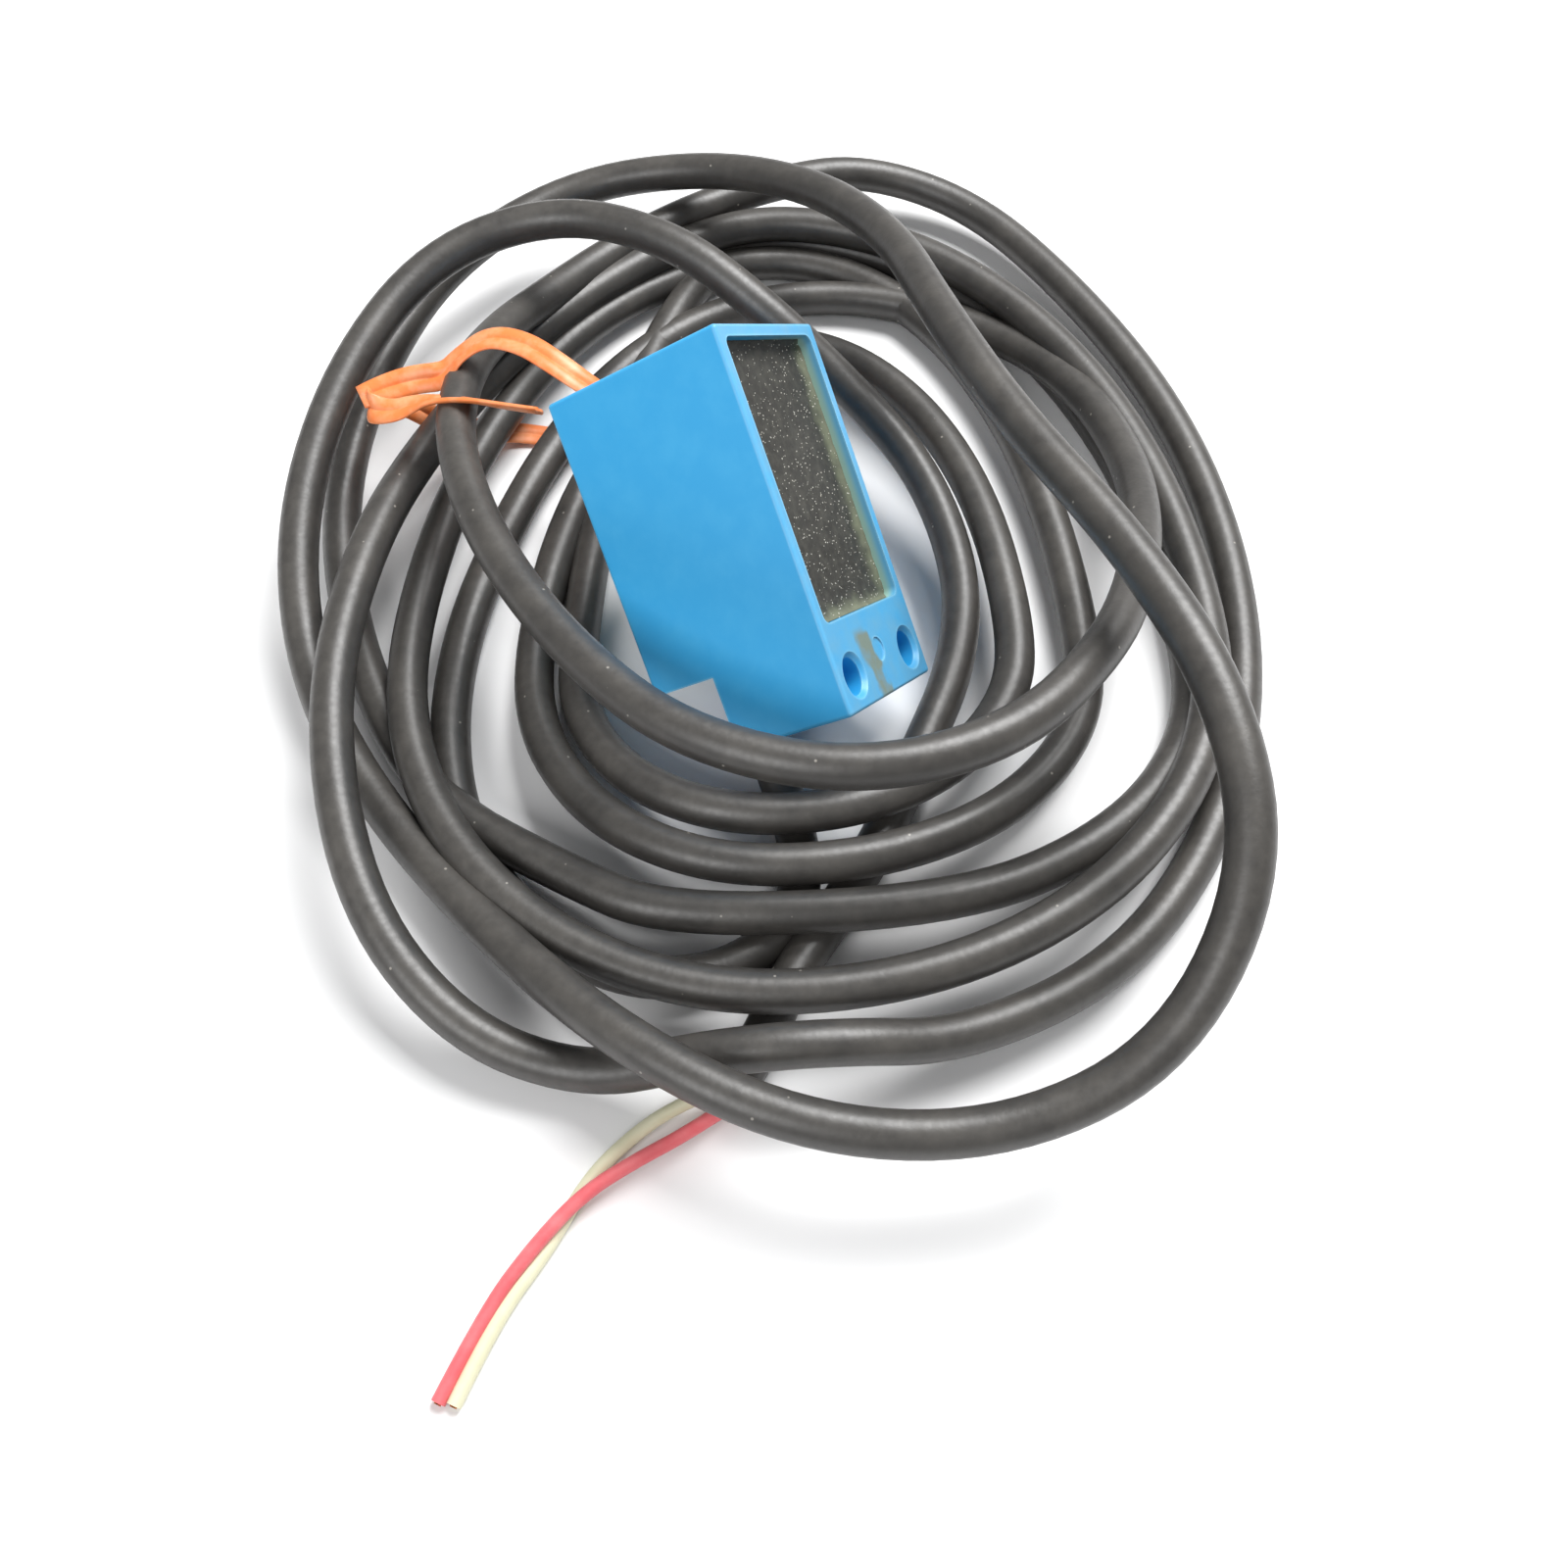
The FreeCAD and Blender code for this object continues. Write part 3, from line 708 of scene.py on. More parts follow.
@dataclass(frozen=True)
class ExtrudedVinyl(Finish):
    """Soft PVC, extruded: dull, mottled, lighter on top with dust and a painted top highlight, with a few
    pale specks.

    Args:
        dust: Colour of what faces up: dust, and a painted highlight on the top.
        dust_and_top_light_share: Share of that colour where the surface faces straight up.
        dust_and_top_light_from: Upward part of the normal at which the dust and painted highlight start.
        powder_mm: Size of the dust's patches.
        speck: Colour of the specks.
        speck_gap_mm: Distance between them.
        speck_edge: Radius at which a speck has faded away, as a share of that distance.
        speck_core: Radius of its full strength, as a share of that distance.
        speck_strength: Its share there.
    """

    # What faces up is lightened: dust, and a painted highlight on the top.
    dust: str = "8a867f"
    dust_and_top_light_share: float = 0.2
    dust_and_top_light_from: float = 0.1
    powder_mm: float = 1.1
    speck: str = "a8a39a"
    speck_gap_mm: float = 2.6
    speck_edge: float = 0.055
    speck_core: float = 0.035
    speck_strength: float = 0.6

    def colour(self, tree: Tree, place: Socket) -> Socket:
        """Base colour with patches, then thin, uneven dust with a painted top highlight on what faces up,
        then the specks.

        Args:
            tree: The material's tree.
            place: Coordinates in metres.

        Returns:
            The colour's socket.
        """
        plain = super().colour(tree, place)
        facing = add_node(tree, "ShaderNodeNewGeometry")
        split = add_node(tree, "ShaderNodeSeparateXYZ", None, {0: facing.outputs["Normal"]})
        powder = add_node(tree, "ShaderNodeTexNoise", None,
                          {"Vector": place, "Scale": 1 / (self.powder_mm * MM), "Detail": 6.0})
        # Share of dust and painted top highlight, from how far the surface faces up.
        up = add_node(tree, "ShaderNodeMapRange", None,
                      {"Value": split.outputs[2], "From Min": self.dust_and_top_light_from, "From Max": 1.0,
                       "To Max": self.dust_and_top_light_share})
        dust_and_top_light = add_node(tree, "ShaderNodeMath", {"operation": "MULTIPLY"},
                         {0: up.outputs["Result"], 1: powder.outputs["Fac"]})
        cells = add_node(tree, "ShaderNodeTexVoronoi", None,
                         {"Vector": place, "Scale": 1 / (self.speck_gap_mm * MM)})
        speck = add_node(tree, "ShaderNodeMapRange", None,
                         {"Value": cells.outputs["Distance"], "From Min": self.speck_edge,
                          "From Max": self.speck_core, "To Max": self.speck_strength})
        return self.stained(tree, plain, [
            (dust_and_top_light.outputs[0], self.dust),
            (speck.outputs["Result"], self.speck),
        ])


# ------------------------------------------------------------------ the sensor's block


@dataclass
class SensorBlock:
    """The block: moulded shell, resin, boot and what the resin hides.

    Args:
        sensor: The block's frame.
        open_across: The open side's walls, across the block.
        open_along: The same along the block.
        clearance: Gap between the resin's skin and those walls.
        resin_level: Where the resin lies, outward.
        skin_lift: How far its skin stands over it.
        skin_depth: How far the skin's closed underside lies in it.
        climb: How far the resin is drawn up a wall.
        climb_reach: How far from a wall that has faded to about a third.
        lumps: Height of each size of lump, how many there are to a millimetre, and its own shift.
        crowding: How much the grid's lines crowd towards the walls, from 0 to 1.
        columns: Squares of the skin's grid across.
        rows: Squares of the skin's grid along.
        grains_per_area: Grains of dust on a square metre.
        grain_radius: Middling radius of a grain, drawn as coarse as it needs to show.
        grain_sizes: Smallest and largest grain, times that radius.
    """

    sensor: SensorFrame
    open_across: tuple[float, float] = (-8.0, 7.75)
    open_along: tuple[float, float] = (7.9, 32.4)
    clearance: float = 0.03
    resin_level: float = 7.4
    skin_lift: float = 0.1
    skin_depth: float = 0.4
    climb: float = 0.55
    climb_reach: float = 0.38
    lumps: tuple[Point, ...] = ((0.07, 0.9, 0.0), (0.025, 3.1, 3.0))
    crowding: float = 0.85
    columns: int = 56
    rows: int = 88
    grains_per_area: float = 2.2e6
    grain_radius: float = 0.05
    grain_sizes: tuple[float, float] = (0.35, 1.5)

    def finishes(self) -> dict[str, Finish]:
        """The finish of each CAD node of the block."""
        # Satin glass-filled polyester, a little uneven in its blue.
        polyester = MouldedPolyester("moulded_polyester_blue", "2ca3de", "46b3e6", roughness=0.42,
                                     mottle_mm=3.0, grain_mm=0.35, relief_mm=0.004, wear=0.45,
                                     sensor=self.sensor)
        # Filled epoxy is dull and lumpy once cured, and holds pale dust.
        epoxy = CastEpoxy("cast_epoxy_grey", "32312d", "4f4e47", roughness=0.62, mottle_mm=0.9, grain_mm=0.3,
                          relief_mm=0.05, wear=0.7, sensor=self.sensor)
        # Chips are moulded in black epoxy, with the fine matt of the mould.
        chip = Finish("transfer_moulded_epoxy", "1f1f21", "333336", roughness=0.5, mottle_mm=1.0,
                      grain_mm=0.12, relief_mm=0.006)
        # A capacitor's fired titanate is tan and faintly glossy.
        ceramic = Finish("fired_titanate_ceramic", "b08e66", "c7a67c", roughness=0.45, mottle_mm=0.6,
                         grain_mm=0.1, relief_mm=0.004)
        return {
            "housing": polyester,
            "potting_compound": epoxy,
            # Nylon has a soft, waxy sheen.
            "cable_boot": Finish("moulded_nylon_blue", "1f74b4", "3c8ec8", roughness=0.45, mottle_mm=2.0,
                                 grain_mm=0.3),
            # Sintered ferrite is dark grey and matt, with a slight glint from its high index.
            "ferrite_core": Finish("sintered_ferrite", "2e2e31", "45454a", roughness=0.7, mottle_mm=0.8,
                                   grain_mm=0.15, relief_mm=0.02, ior=2.0),
            # Undyed nylon is ivory.
            "coil_bobbin": Finish("moulded_nylon_natural", "e4dfcc", "f0ecdd", roughness=0.4, mottle_mm=1.5,
                                  grain_mm=0.3),
            # Enamel makes the winding's copper glossy and reddish.
            "coil_winding": Finish("enamelled_copper", "b4602c", "d2813f", roughness=0.3, mottle_mm=0.5,
                                   grain_mm=0.1, relief_mm=0.03, metallic=1.0),
            # Solder mask is a thin green lacquer over glass cloth.
            "circuit_board": Finish("solder_mask_green", "1c5a32", "2a7443", roughness=0.35, mottle_mm=1.2,
                                    grain_mm=0.25),
            "oscillator_chip": chip,
            "output_transistor": chip,
            "chip_resistors": chip,
            "smoothing_capacitor": ceramic,
            "chip_capacitors": ceramic,
            # Extruded vinyl is smooth and softly glossy.
            "board_leads": Finish("extruded_vinyl_red_inside", "b02c38", "cc4a55", roughness=0.4,
                                  mottle_mm=1.0, grain_mm=0.3),
        }

    def eased(self, share: float) -> float:
        """Crowd a grid's lines towards both ends, where the resin climbs the walls."""
        return share - self.crowding * math.sin(2 * math.pi * share) / (2 * math.pi)

    def skin_point(self, column: int, row: int, under: bool) -> Vector:
        """Find a point of the resin's skin.

        Args:
            column: Its place across.
            row: Its place along.
            under: Whether it is on the closed underside.

        Returns:
            The point in metres.
        """
        left, right = self.open_across[0] + self.clearance, self.open_across[1] - self.clearance
        low, high = self.open_along[0] + self.clearance, self.open_along[1] - self.clearance
        x = left + (right - left) * self.eased(column / self.columns)
        z = low + (high - low) * self.eased(row / self.rows)
        if under:
            return self.sensor.at(x, self.resin_level - self.skin_depth, z)
        wall = min(x - left, right - x, z - low, high - z)
        rise = self.climb * math.exp(-wall / self.climb_reach)
        lump = sum(height * noise.noise(Vector((x, shift, z)) * pitch) for height, pitch, shift in self.lumps)
        return self.sensor.at(x, self.resin_level + self.skin_lift + rise + lump, z)

    @staticmethod
    def border(grid: list[list[bmesh.types.BMVert]]) -> list[bmesh.types.BMVert]:
        """A grid's outer points, once round."""
        right = [line[-1] for line in grid[1:]]
        left = [line[0] for line in grid[-2:0:-1]]
        return [*grid[0], *right, *grid[-1][-2::-1], *left]

    def resin_surface(self, material: Material) -> Piece:
        """The resin's cured skin: uneven, drawn up the walls it meets, closed underneath.

        Args:
            material: The resin's material.

        Returns:
            The skin.
        """
        form = bmesh.new()
        top, bottom = ([[form.verts.new(self.skin_point(i, j, under)) for i in range(self.columns + 1)]
                        for j in range(self.rows + 1)] for under in (False, True))
        for j in range(self.rows):
            for i in range(self.columns):
                form.faces.new((top[j][i], top[j][i + 1], top[j + 1][i + 1], top[j + 1][i]))
                form.faces.new((bottom[j][i], bottom[j + 1][i], bottom[j + 1][i + 1], bottom[j][i + 1]))
        upper, lower = self.border(top), self.border(bottom)
        for k, (here, below) in enumerate(zip(upper, lower)):
            following = (k + 1) % len(upper)
            form.faces.new((here, below, lower[following], upper[following]))
        piece = new_piece("resin_surface", plain_mesh("resin_surface", form))
        dress(piece, material)
        return piece

    def dust(self, surface: Piece) -> Piece:
        """Pale grains stuck on the resin, scattered by Geometry Nodes.

        Args:
            surface: The resin's skin.

        Returns:
            The grains as one plain mesh.
        """
        scatter_seed, size_seed, facing_out = 7, 3, 0.8
        # Mineral dust is pale and quite matt.
        grit = Finish("mineral_dust", "cfcdc2", "f2f0e8", roughness=0.8, mottle_mm=0.3, grain_mm=0.1).build()
        tree = geometry_tree("dust_on_resin", ("Grains per area", "Grain radius"))
        entry = add_node(tree, "NodeGroupInput")
        facing = add_node(tree, "GeometryNodeInputNormal")
        outward = add_node(tree, "ShaderNodeVectorMath", {"operation": "DOT_PRODUCT"},
                           {0: facing.outputs[0], 1: self.sensor.outward})
        upper = add_node(tree, "FunctionNodeCompare", {"data_type": "FLOAT", "operation": "GREATER_THAN"},
                         {0: outward.outputs["Value"], 1: facing_out})
        scatter = add_node(tree, "GeometryNodeDistributePointsOnFaces", None,
                           {"Mesh": entry.outputs["Geometry"], "Selection": upper.outputs["Result"],
                            "Density": entry.outputs["Grains per area"], "Seed": scatter_seed})
        grain = add_node(tree, "GeometryNodeMeshIcoSphere", None,
                         {"Radius": entry.outputs["Grain radius"], "Subdivisions": 1})
        smallest, largest = self.grain_sizes
        scale = add_node(tree, "FunctionNodeRandomValue", {"data_type": "FLOAT"},
                         {"Min": smallest, "Max": largest, "Seed": size_seed})
        placed = add_node(tree, "GeometryNodeInstanceOnPoints", None,
                          {"Points": scatter.outputs["Points"], "Instance": grain.outputs["Mesh"],
                           "Scale": scale.outputs["Value"]})
        end_tree(tree, placed.outputs["Instances"], grit)
        sizes = {"Grains per area": self.grains_per_area, "Grain radius": self.grain_radius * MM}
        return evaluated("resin_dust", surface.data.copy(), tree, sizes, grit)

    def build(self, frame: dict[str, Any]) -> list[Piece]:
        """Dress the CAD nodes, and lay the skin and dust on the resin.

        Args:
            frame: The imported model.

        Returns:
            The skin and the dust.
        """
        made: dict[str, Material] = {}
        for node, finish in self.finishes().items():
            if finish.name not in made:
                made[finish.name] = finish.build()
            dress(frame["nodes"][node], made[finish.name])
            log.info("%s: %s", node, finish.name)
        skin = self.resin_surface(made["cast_epoxy_grey"])
        pieces = [skin, self.dust(skin)]
        for piece in pieces:
            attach(piece, "root")
        return pieces


# ------------------------------------------------------------------ the lead


@dataclass(frozen=True)
class Turn:
    """One turn of the coil: how far each side lies from the coil's middle, and how high.

    Args:
        far: Distance on the far side.
        right: Distance on the right.
        near: Distance on the near side.
        left: Distance on the left.
        lifts: Heights of the cord's middle on the same four sides.
    """

    far: float
    right: float
    near: float
    left: float
    lifts: tuple[float, float, float, float]

    def stations(self) -> list[tuple[float, float]]:
        """Distance and height on each side, in the order that the lead passes them."""
        return list(zip((self.far, self.right, self.near, self.left), self.lifts))


@dataclass
class Lead:
    """The lead: one cord from the block's boot to its cut end, and its two conductors.

    Args:
        sensor: The block's frame.
        width: Diameter of the jacket.
        wire_width: Diameter of a conductor.
        strand_width: Diameter of a copper strand.
        strand_places: How far past a conductor's cut each control point of its copper lies.
        strand_twist: How far the strands turn on their way, in radians.
        outlet: Where the lead's middle leaves the block, across and outward.
        held_at: Where it starts in the block, along.
        leaves_at: Where it leaves the boot, along.
        heads_for: Its first control point past the block, along.
        middle: The coil's middle.
        turns: The coil's turns, in the order that the lead passes them.
        points_per_side: Control points on a quarter of a turn.
    """

    sensor: SensorFrame
    width: float = 3.8
    wire_width: float = 1.2
    strand_width: float = 0.2
    strand_places: Point = (-1.2, -0.3, 0.12)
    strand_twist: float = 2.2
    outlet: tuple[float, float] = (0.0, -5.2)
    held_at: float = 8.8
    leaves_at: float = 1.7
    heads_for: float = -2.4
    middle: tuple[float, float] = (2.5, -3.1)
    turns: tuple[Turn, ...] = (
        Turn(61.2, 42.2, 36.5, 35.7, (6.0, 6.3, 6.3, 5.0)),
        Turn(59.0, 30.6, 24.6, 23.9, (2.2, 3.0, 6.4, 2.4)),
        Turn(42.5, 23.4, 19.6, 19.6, (4.4, 5.8, 6.6, 2.4)),
        Turn(62.8, 41.4, 30.0, 30.0, (2.2, 2.2, 6.3, 6.0)),
    )
    points_per_side: int = 4

    def coil(self) -> list[Point]:
        """Work out the turns' points, clockwise from the far side to the near side of the last turn.

        Returns:
            The points in millimetres.
        """
        stations = [station for turn in self.turns for station in turn.stations()][:-1]
        points: list[Point] = []
        for number, (here, following) in enumerate(zip(stations, stations[1:])):
            for step in range(self.points_per_side):
                share = step / self.points_per_side
                angle = math.pi / 2 * (1 - number - share)
                even = number % 2 == 0
                along, across = (here[0], following[0]) if even else (following[0], here[0])
                lift = here[1] + (following[1] - here[1]) * (1 - math.cos(math.pi * share)) / 2
                points.append((self.middle[0] + across * math.cos(angle),
                               self.middle[1] + along * math.sin(angle), lift))
        return points

    def route(self) -> list[Vector]:
        """All the lead's control points in order, in metres."""
        start = [self.sensor.at(*self.outlet, self.held_at), self.sensor.at(*self.outlet, self.heads_for)]
        return start + metres(EXIT_RUN + UNDER_RUN + FRONT_LOOP + OUTER_LOOP + INTO_COIL + self.coil()
                              + ONTO_LOOP + TOP_LOOP + CABLE_END)

    def jacket(self) -> Piece:
        """The black outer sheath, from the boot to the cut end.


        Returns:
            The sheath.
        """
        # Black vinyl is dull and greyish, uneven along its length, and gathers dust; what faces up also
        # carries a painted highlight.
        vinyl = ExtrudedVinyl("extruded_vinyl_black", "302e2c", "4a4743", roughness=0.42, mottle_mm=5.0,
                              grain_mm=0.5, relief_mm=0.03, wear=0.7, ior=1.6)
        points = self.route()
        long = length_of(along_spline(points))
        piece = new_piece("lead", spline_curve("lead", points, self.width * MM))
        dress(piece, vinyl.build())
        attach(piece, "root")
        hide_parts("cable_exit", "cable_coil", "cable_front_loop", "cable_outer_loop",
                    "cable_top_loop", "cable_end")
        tuple(self.sensor.at(*self.outlet, self.leaves_at))
        return piece

    def conductor(self, colour: str, points: list[Point], finish: Finish) -> list[Piece]:
        """One insulated conductor, with its strands showing at the cut.

        Args:
            colour: "red" or "cream".
            points: Its route in millimetres.
            finish: Its insulation.

        Returns:
            The insulation and the strands.
        """
        route = metres(points)
        line = along_spline(route)
        name = f"{colour}_conductor"
        piece = new_piece(name, spline_curve(name, route, self.wire_width * MM))
        dress(piece, finish.build())
        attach(piece, "root")
        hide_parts(f"{colour}_insulation")
        strands = self.strands(colour, line)
        return [piece, strands]

    def strands(self, colour: str, line: list[Vector]) -> Piece:
        """Seven twisted strands that stand a little out of the cut end, by Geometry Nodes.

        Args:
            colour: "red" or "cream".
            line: Points along the conductor, in metres.

        Returns:
            The strands as one plain mesh.
        """
        ring_strands, facets, stations = 6, 10, 18
        # Freshly cut copper is bright and orange.
        copper = Finish(f"drawn_copper_{colour}", "c47a4a", "dc9a68", roughness=0.3, mottle_mm=0.4,
                        grain_mm=0.08, relief_mm=0.004, metallic=1.0).build()
        heading = (line[-1] - line[-2]).normalized()
        core = spline_curve(f"{colour}_core", [line[-1] + heading * past * MM for past in self.strand_places])
        tree = geometry_tree(f"{colour}_stranding", ("Strand radius", "Twist"))
        entry = add_node(tree, "NodeGroupInput")
        share = add_node(tree, "GeometryNodeSplineParameter")
        twist = add_node(tree, "ShaderNodeMath", {"operation": "MULTIPLY"},
                         {0: share.outputs["Factor"], 1: entry.outputs["Twist"]})
        even = add_node(tree, "GeometryNodeResampleCurve", None,
                        {"Curve": entry.outputs["Geometry"], "Count": stations})
        tilted = add_node(tree, "GeometryNodeSetCurveTilt", None,
                          {"Curve": even.outputs["Curve"], "Tilt": twist.outputs[0]})
        # Outer strands touch the middle one, so their ring's radius is a strand's width.
        pitch = add_node(tree, "ShaderNodeMath", {"operation": "MULTIPLY"},
                         {0: entry.outputs["Strand radius"], 1: 2.0})
        ring = add_node(tree, "GeometryNodeCurvePrimitiveCircle", None,
                        {"Resolution": ring_strands, "Radius": pitch.outputs[0]})
        round_section = add_node(tree, "GeometryNodeCurvePrimitiveCircle", None,
                                 {"Resolution": facets, "Radius": entry.outputs["Strand radius"]})
        ring_points = add_node(tree, "GeometryNodeCurveToPoints", {"mode": "EVALUATED"},
                               {0: ring.outputs["Curve"]})
        around = add_node(tree, "GeometryNodeInstanceOnPoints", None,
                          {"Points": ring_points.outputs["Points"],
                           "Instance": round_section.outputs["Curve"]})
        sections = add_node(tree, "GeometryNodeJoinGeometry")
        tree.links.new(around.outputs["Instances"], sections.inputs[0])
        tree.links.new(round_section.outputs["Curve"], sections.inputs[0])
        profile = add_node(tree, "GeometryNodeRealizeInstances", None,
                           {"Geometry": sections.outputs["Geometry"]})
        swept = add_node(tree, "GeometryNodeCurveToMesh", None,
                         {"Curve": tilted.outputs["Curve"], "Profile Curve": profile.outputs["Geometry"],
                          "Fill Caps": True})
        end_tree(tree, swept.outputs["Mesh"], copper)
        piece = evaluated(f"{colour}_strand_ends", core, tree,
                          {"Strand radius": self.strand_width / 2 * MM, "Twist": self.strand_twist}, copper)
        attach(piece, "root")
        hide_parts(f"{colour}_strands")
        return piece

    def build(self, tie: Piece) -> list[Piece]:
        """Make the jacket, and the two conductors that come out of its end.

        Args:
            tie: The twist tie round the turns; not used.

        Returns:
            The jacket, the conductors and their strands.
        """
        # Thin coloured vinyl is smoother and glossier than the jacket, and paler on top with dust and a
        # painted highlight.
        red = ExtrudedVinyl("extruded_vinyl_red", "dc5a62", "ee8a8c", roughness=0.35, mottle_mm=2.5,
                            grain_mm=0.3, relief_mm=0.004, wear=0.5, dust="f0a0a0", dust_and_top_light_share=0.35)
        cream = ExtrudedVinyl("extruded_vinyl_cream", "d9d6b4", "e9e6cd", roughness=0.35, mottle_mm=2.5,
                              grain_mm=0.3, relief_mm=0.004, wear=0.5, dust="f0eedc", dust_and_top_light_share=0.3)
        return [self.jacket(), *self.conductor("red", RED_WIRE, red),
                *self.conductor("cream", CREAM_WIRE, cream)]


# ------------------------------------------------------------------ the twist tie


@dataclass
class TwistTie:
    """An orange two-ribbed ribbon with a wire in it, round the turns on the left and twisted shut.

    Args:
        width: Across both ribs.
        thickness: Over a rib.
        groove: Thickness between the ribs, as a share of that.
        rib_fill: Share of half the width that a rib fills, so that the two never meet.
        rib_facets: Facets of a rib's rounded face.
        stations: Each place that the ribbon passes, and the way that its flat side faces there.
    """

    width: float = 2.8
    thickness: float = 0.55
    groove: float = 0.2
    rib_fill: float = 0.98
    rib_facets: int = 6
    stations: tuple[tuple[Point, Point], ...] = (
        ((-19.7, 14.6, 18.2), (0.0, 0.8, 0.6)), ((-23.0, 15.2, 18.2), (0.0, 0.8, 0.6)),
        ((-26.4, 16.2, 18.0), (0.0, 0.75, 0.65)), ((-29.7, 17.4, 17.0), (0.0, 0.5, 0.85)),
        ((-32.4, 18.0, 15.8), (0.0, 0.1, 1.0)), ((-35.0, 17.6, 15.0), (-0.2, -0.2, 1.0)),
        ((-37.6, 18.6, 14.6), (-0.9, -0.2, 0.4)), ((-36.6, 21.0, 14.2), (-0.5, 0.3, -0.8)),
        ((-34.4, 23.4, 10.0), (-1.0, 0.3, 0.0)), ((-32.2, 26.4, 3.6), (-0.8, 0.4, -0.5)),
        ((-26.0, 29.4, 0.4), (0.0, 0.0, -1.0)), ((-18.0, 27.6, 0.4), (0.0, 0.0, -1.0)),
        ((-11.6, 22.6, 2.0), (0.7, -0.2, -0.7)), ((-10.6, 19.4, 8.0), (1.0, -0.3, 0.0)),
        ((-12.0, 18.4, 14.6), (0.8, -0.2, 0.6)), ((-15.5, 18.4, 17.8), (0.3, -0.1, 1.0)),
        ((-18.6, 20.2, 19.0), (0.1, -0.1, 1.0)), ((-21.8, 22.4, 19.5), (0.0, -0.1, 1.0)),
        ((-25.4, 23.6, 19.2), (-0.3, 0.0, 1.0)), ((-28.6, 22.8, 17.4), (-0.7, 0.0, 0.8)),
        ((-30.2, 21.6, 15.8), (-0.6, -0.6, 0.6)), ((-32.6, 21.8, 15.4), (0.0, -0.7, 0.7)),
        ((-35.4, 21.0, 15.2), (0.2, -0.5, 0.9)), ((-38.2, 19.6, 15.0), (0.3, 0.0, 1.0)),
    )

    def section(self) -> list[tuple[float, float]]:
        """Draw the ribbon's outline: two ribs with a groove between them, on both faces.

        Returns:
            Its points across and up, in millimetres.
        """
        rib, half = self.width / 4, self.thickness / 2
        steps = [math.pi * n / self.rib_facets for n in range(self.rib_facets + 1)]
        upper = [(rib * side - rib * math.cos(a) * self.rib_fill, max(half * math.sin(a), half * self.groove))
                 for side in (-1, 1) for a in steps]
        return upper + [(x, -y) for x, y in reversed(upper)]

    def build(self) -> Piece:
        """Sweep the outline along the stations.

        Returns:
            The ribbon.
        """
        outline = self.section()
        line = along_spline(metres(place for place, _ in self.stations))
        facing = along_spline([Vector(way) for _, way in self.stations])
        form = bmesh.new()
        rings = []
        for number, (place, way) in enumerate(zip(line, facing)):
            tangent = (line[min(number + 1, len(line) - 1)] - line[max(number - 1, 0)]).normalized()
            side = tangent.cross(way).normalized()
            up = side.cross(tangent)
            rings.append([form.verts.new(place + side * x * MM + up * y * MM) for x, y in outline])
        for here, following in zip(rings, rings[1:]):
            for k in range(len(outline)):
                after = (k + 1) % len(outline)
                form.faces.new((here[k], here[after], following[after], following[k]))
        form.faces.new(list(reversed(rings[0])))
        form.faces.new(rings[-1])
        piece = new_piece("twist_tie", plain_mesh("twist_tie", form))
        # Vinyl drawn over a wire: bright, softly glossy, and paler where bending has stretched it.
        vinyl = Finish("extruded_vinyl_orange", "ef8346", "f9b78c", roughness=0.4, mottle_mm=2.0,
                       grain_mm=0.25, wear=0.7)
        dress(piece, vinyl.build())
        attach(piece, "root")
        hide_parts("tie_ribbon", "tie_wire")
        return piece


# ------------------------------------------------------------------ the studio


@dataclass(frozen=True)
class Lamp:
    """A square soft light that faces the coil.

    Args:
        name: Its name.
        place: Where it hangs.
        width: Its width.
        power: In watts.
    """

    name: str
    place: Point
    width: float
    power: float

    def build(self) -> None:
        """Hang the light and point it at the origin."""
        data = bpy.data.lights.new(self.name, "AREA")
        data.size = self.width * MM
        data.energy = self.power
        lamp = new_piece(self.name, data)
        lamp.location = Vector(self.place) * MM
        lamp.rotation_euler = (-lamp.location).to_track_quat("-Z", "Y").to_euler()


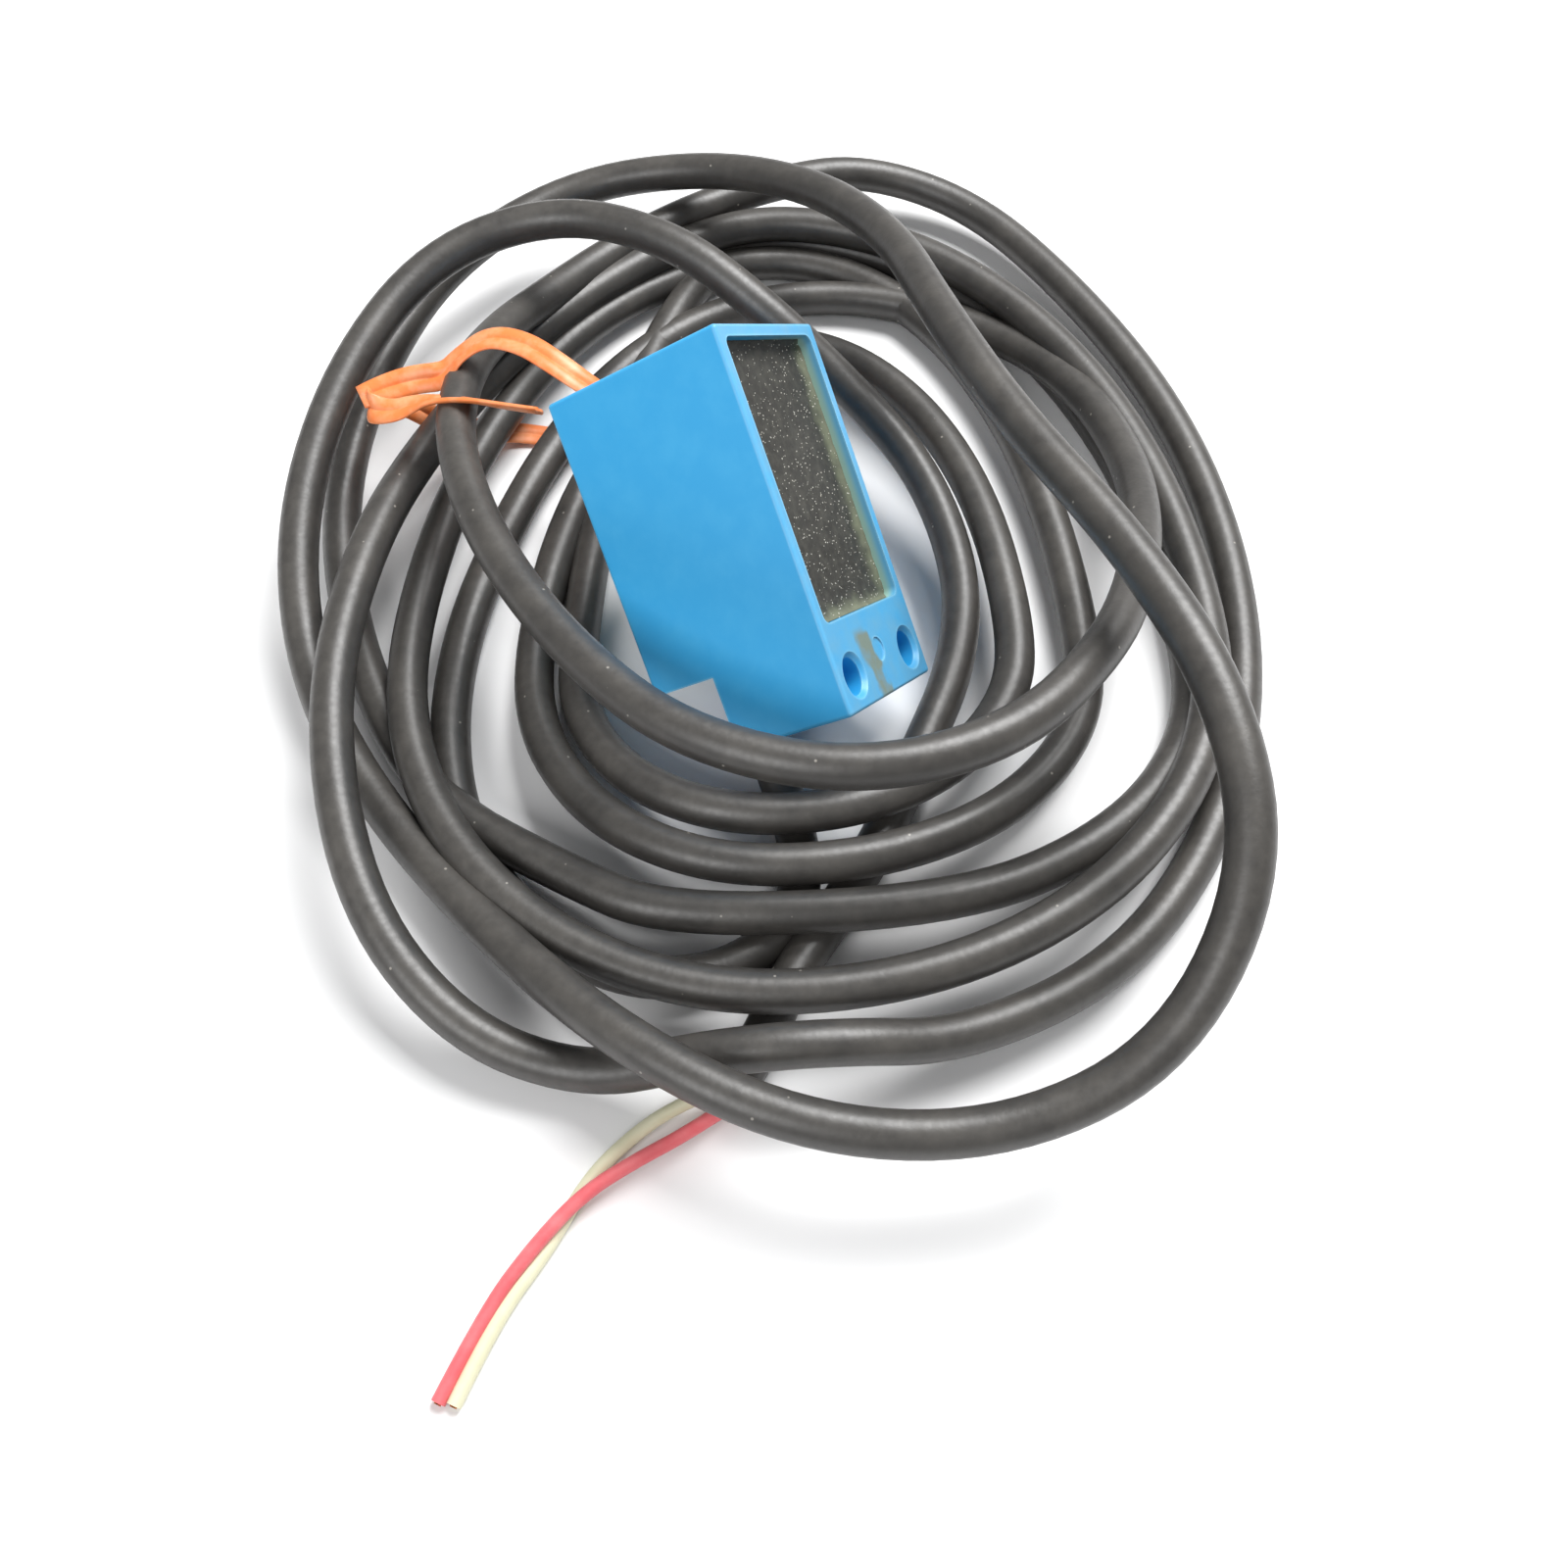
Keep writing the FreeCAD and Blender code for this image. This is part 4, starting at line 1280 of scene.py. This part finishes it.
@dataclass
class Studio:
    """A pale floor, soft light from above, and the camera.

    Args:
        camera_place: Where the camera is.
        camera_pitch: How far it looks up from straight down, in degrees.
        lens_mm: Its focal length.
        nearest: How near it sees, in metres.
        floor_reach: Half the floor's width, in metres.
        sky: Colour of the light from all round.
        sky_strength: Strength of that light.
        lamps: The other lights.
    """

    camera_place: Point = (3.4, -80.6, 112.7)
    camera_pitch: float = 30.0
    lens_mm: float = 31.5
    nearest: float = 0.005
    floor_reach: float = 3.0
    sky: str = "f6f7f9"
    sky_strength: float = 0.33
    lamps: tuple[Lamp, ...] = (
        Lamp("key", (150, 190, 400), 260, 3.3),
        Lamp("fill", (-230, -330, 330), 260, 1.35),
    )

    def floor(self) -> None:
        """Lay the floor."""
        reach = self.floor_reach
        mesh = bpy.data.meshes.new("floor")
        mesh.from_pydata([(-reach, -reach, 0), (reach, -reach, 0), (reach, reach, 0), (-reach, reach, 0)],
                         [], [(0, 1, 2, 3)])
        floor = new_piece("floor", mesh)
        # Matt white paint on board has hardly any sheen or grain.
        paint = Finish("painted_board_white", "f4f4f4", "f8f8f8", roughness=0.9, mottle_mm=60.0, grain_mm=4.0)
        dress(floor, paint.build())

    def camera(self) -> None:
        """Set the camera up."""
        lens = bpy.data.cameras.new("camera")
        lens.lens = self.lens_mm
        lens.clip_start = self.nearest
        camera = new_piece("camera", lens)
        camera.location = Vector(self.camera_place) * MM
        camera.rotation_euler = (math.radians(self.camera_pitch), 0, 0)
        bpy.context.scene.camera = camera

    def build(self) -> None:
        """Make the floor, the lights, the sky and the camera."""
        self.floor()
        for lamp in self.lamps:
            lamp.build()
        world = bpy.data.worlds.new("studio")
        world.use_nodes = True
        background = world.node_tree.nodes["Background"]
        background.inputs["Color"].default_value = linear(self.sky)
        background.inputs["Strength"].default_value = self.sky_strength
        bpy.context.scene.world = world
        bpy.context.scene.view_settings.view_transform = "Standard"
        self.camera()


def main() -> None:
    """Build the tie, the lead, the block and the studio, and report each piece."""
    logging.basicConfig(level=logging.INFO, format="%(message)s")
    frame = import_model()
    sensor = SensorFrame.from_record(frame["record"], BLOCK_LENGTH)
    tie = TwistTie().build()
    pieces = [tie, *Lead(sensor).build(tie), *SensorBlock(sensor).build(frame)]
    Studio().build()
    for piece in pieces:
        log.info("%s: %s, %s", piece.name, piece.type.lower(), piece.data.materials[0].name)


if __name__ == "__main__":
    main()
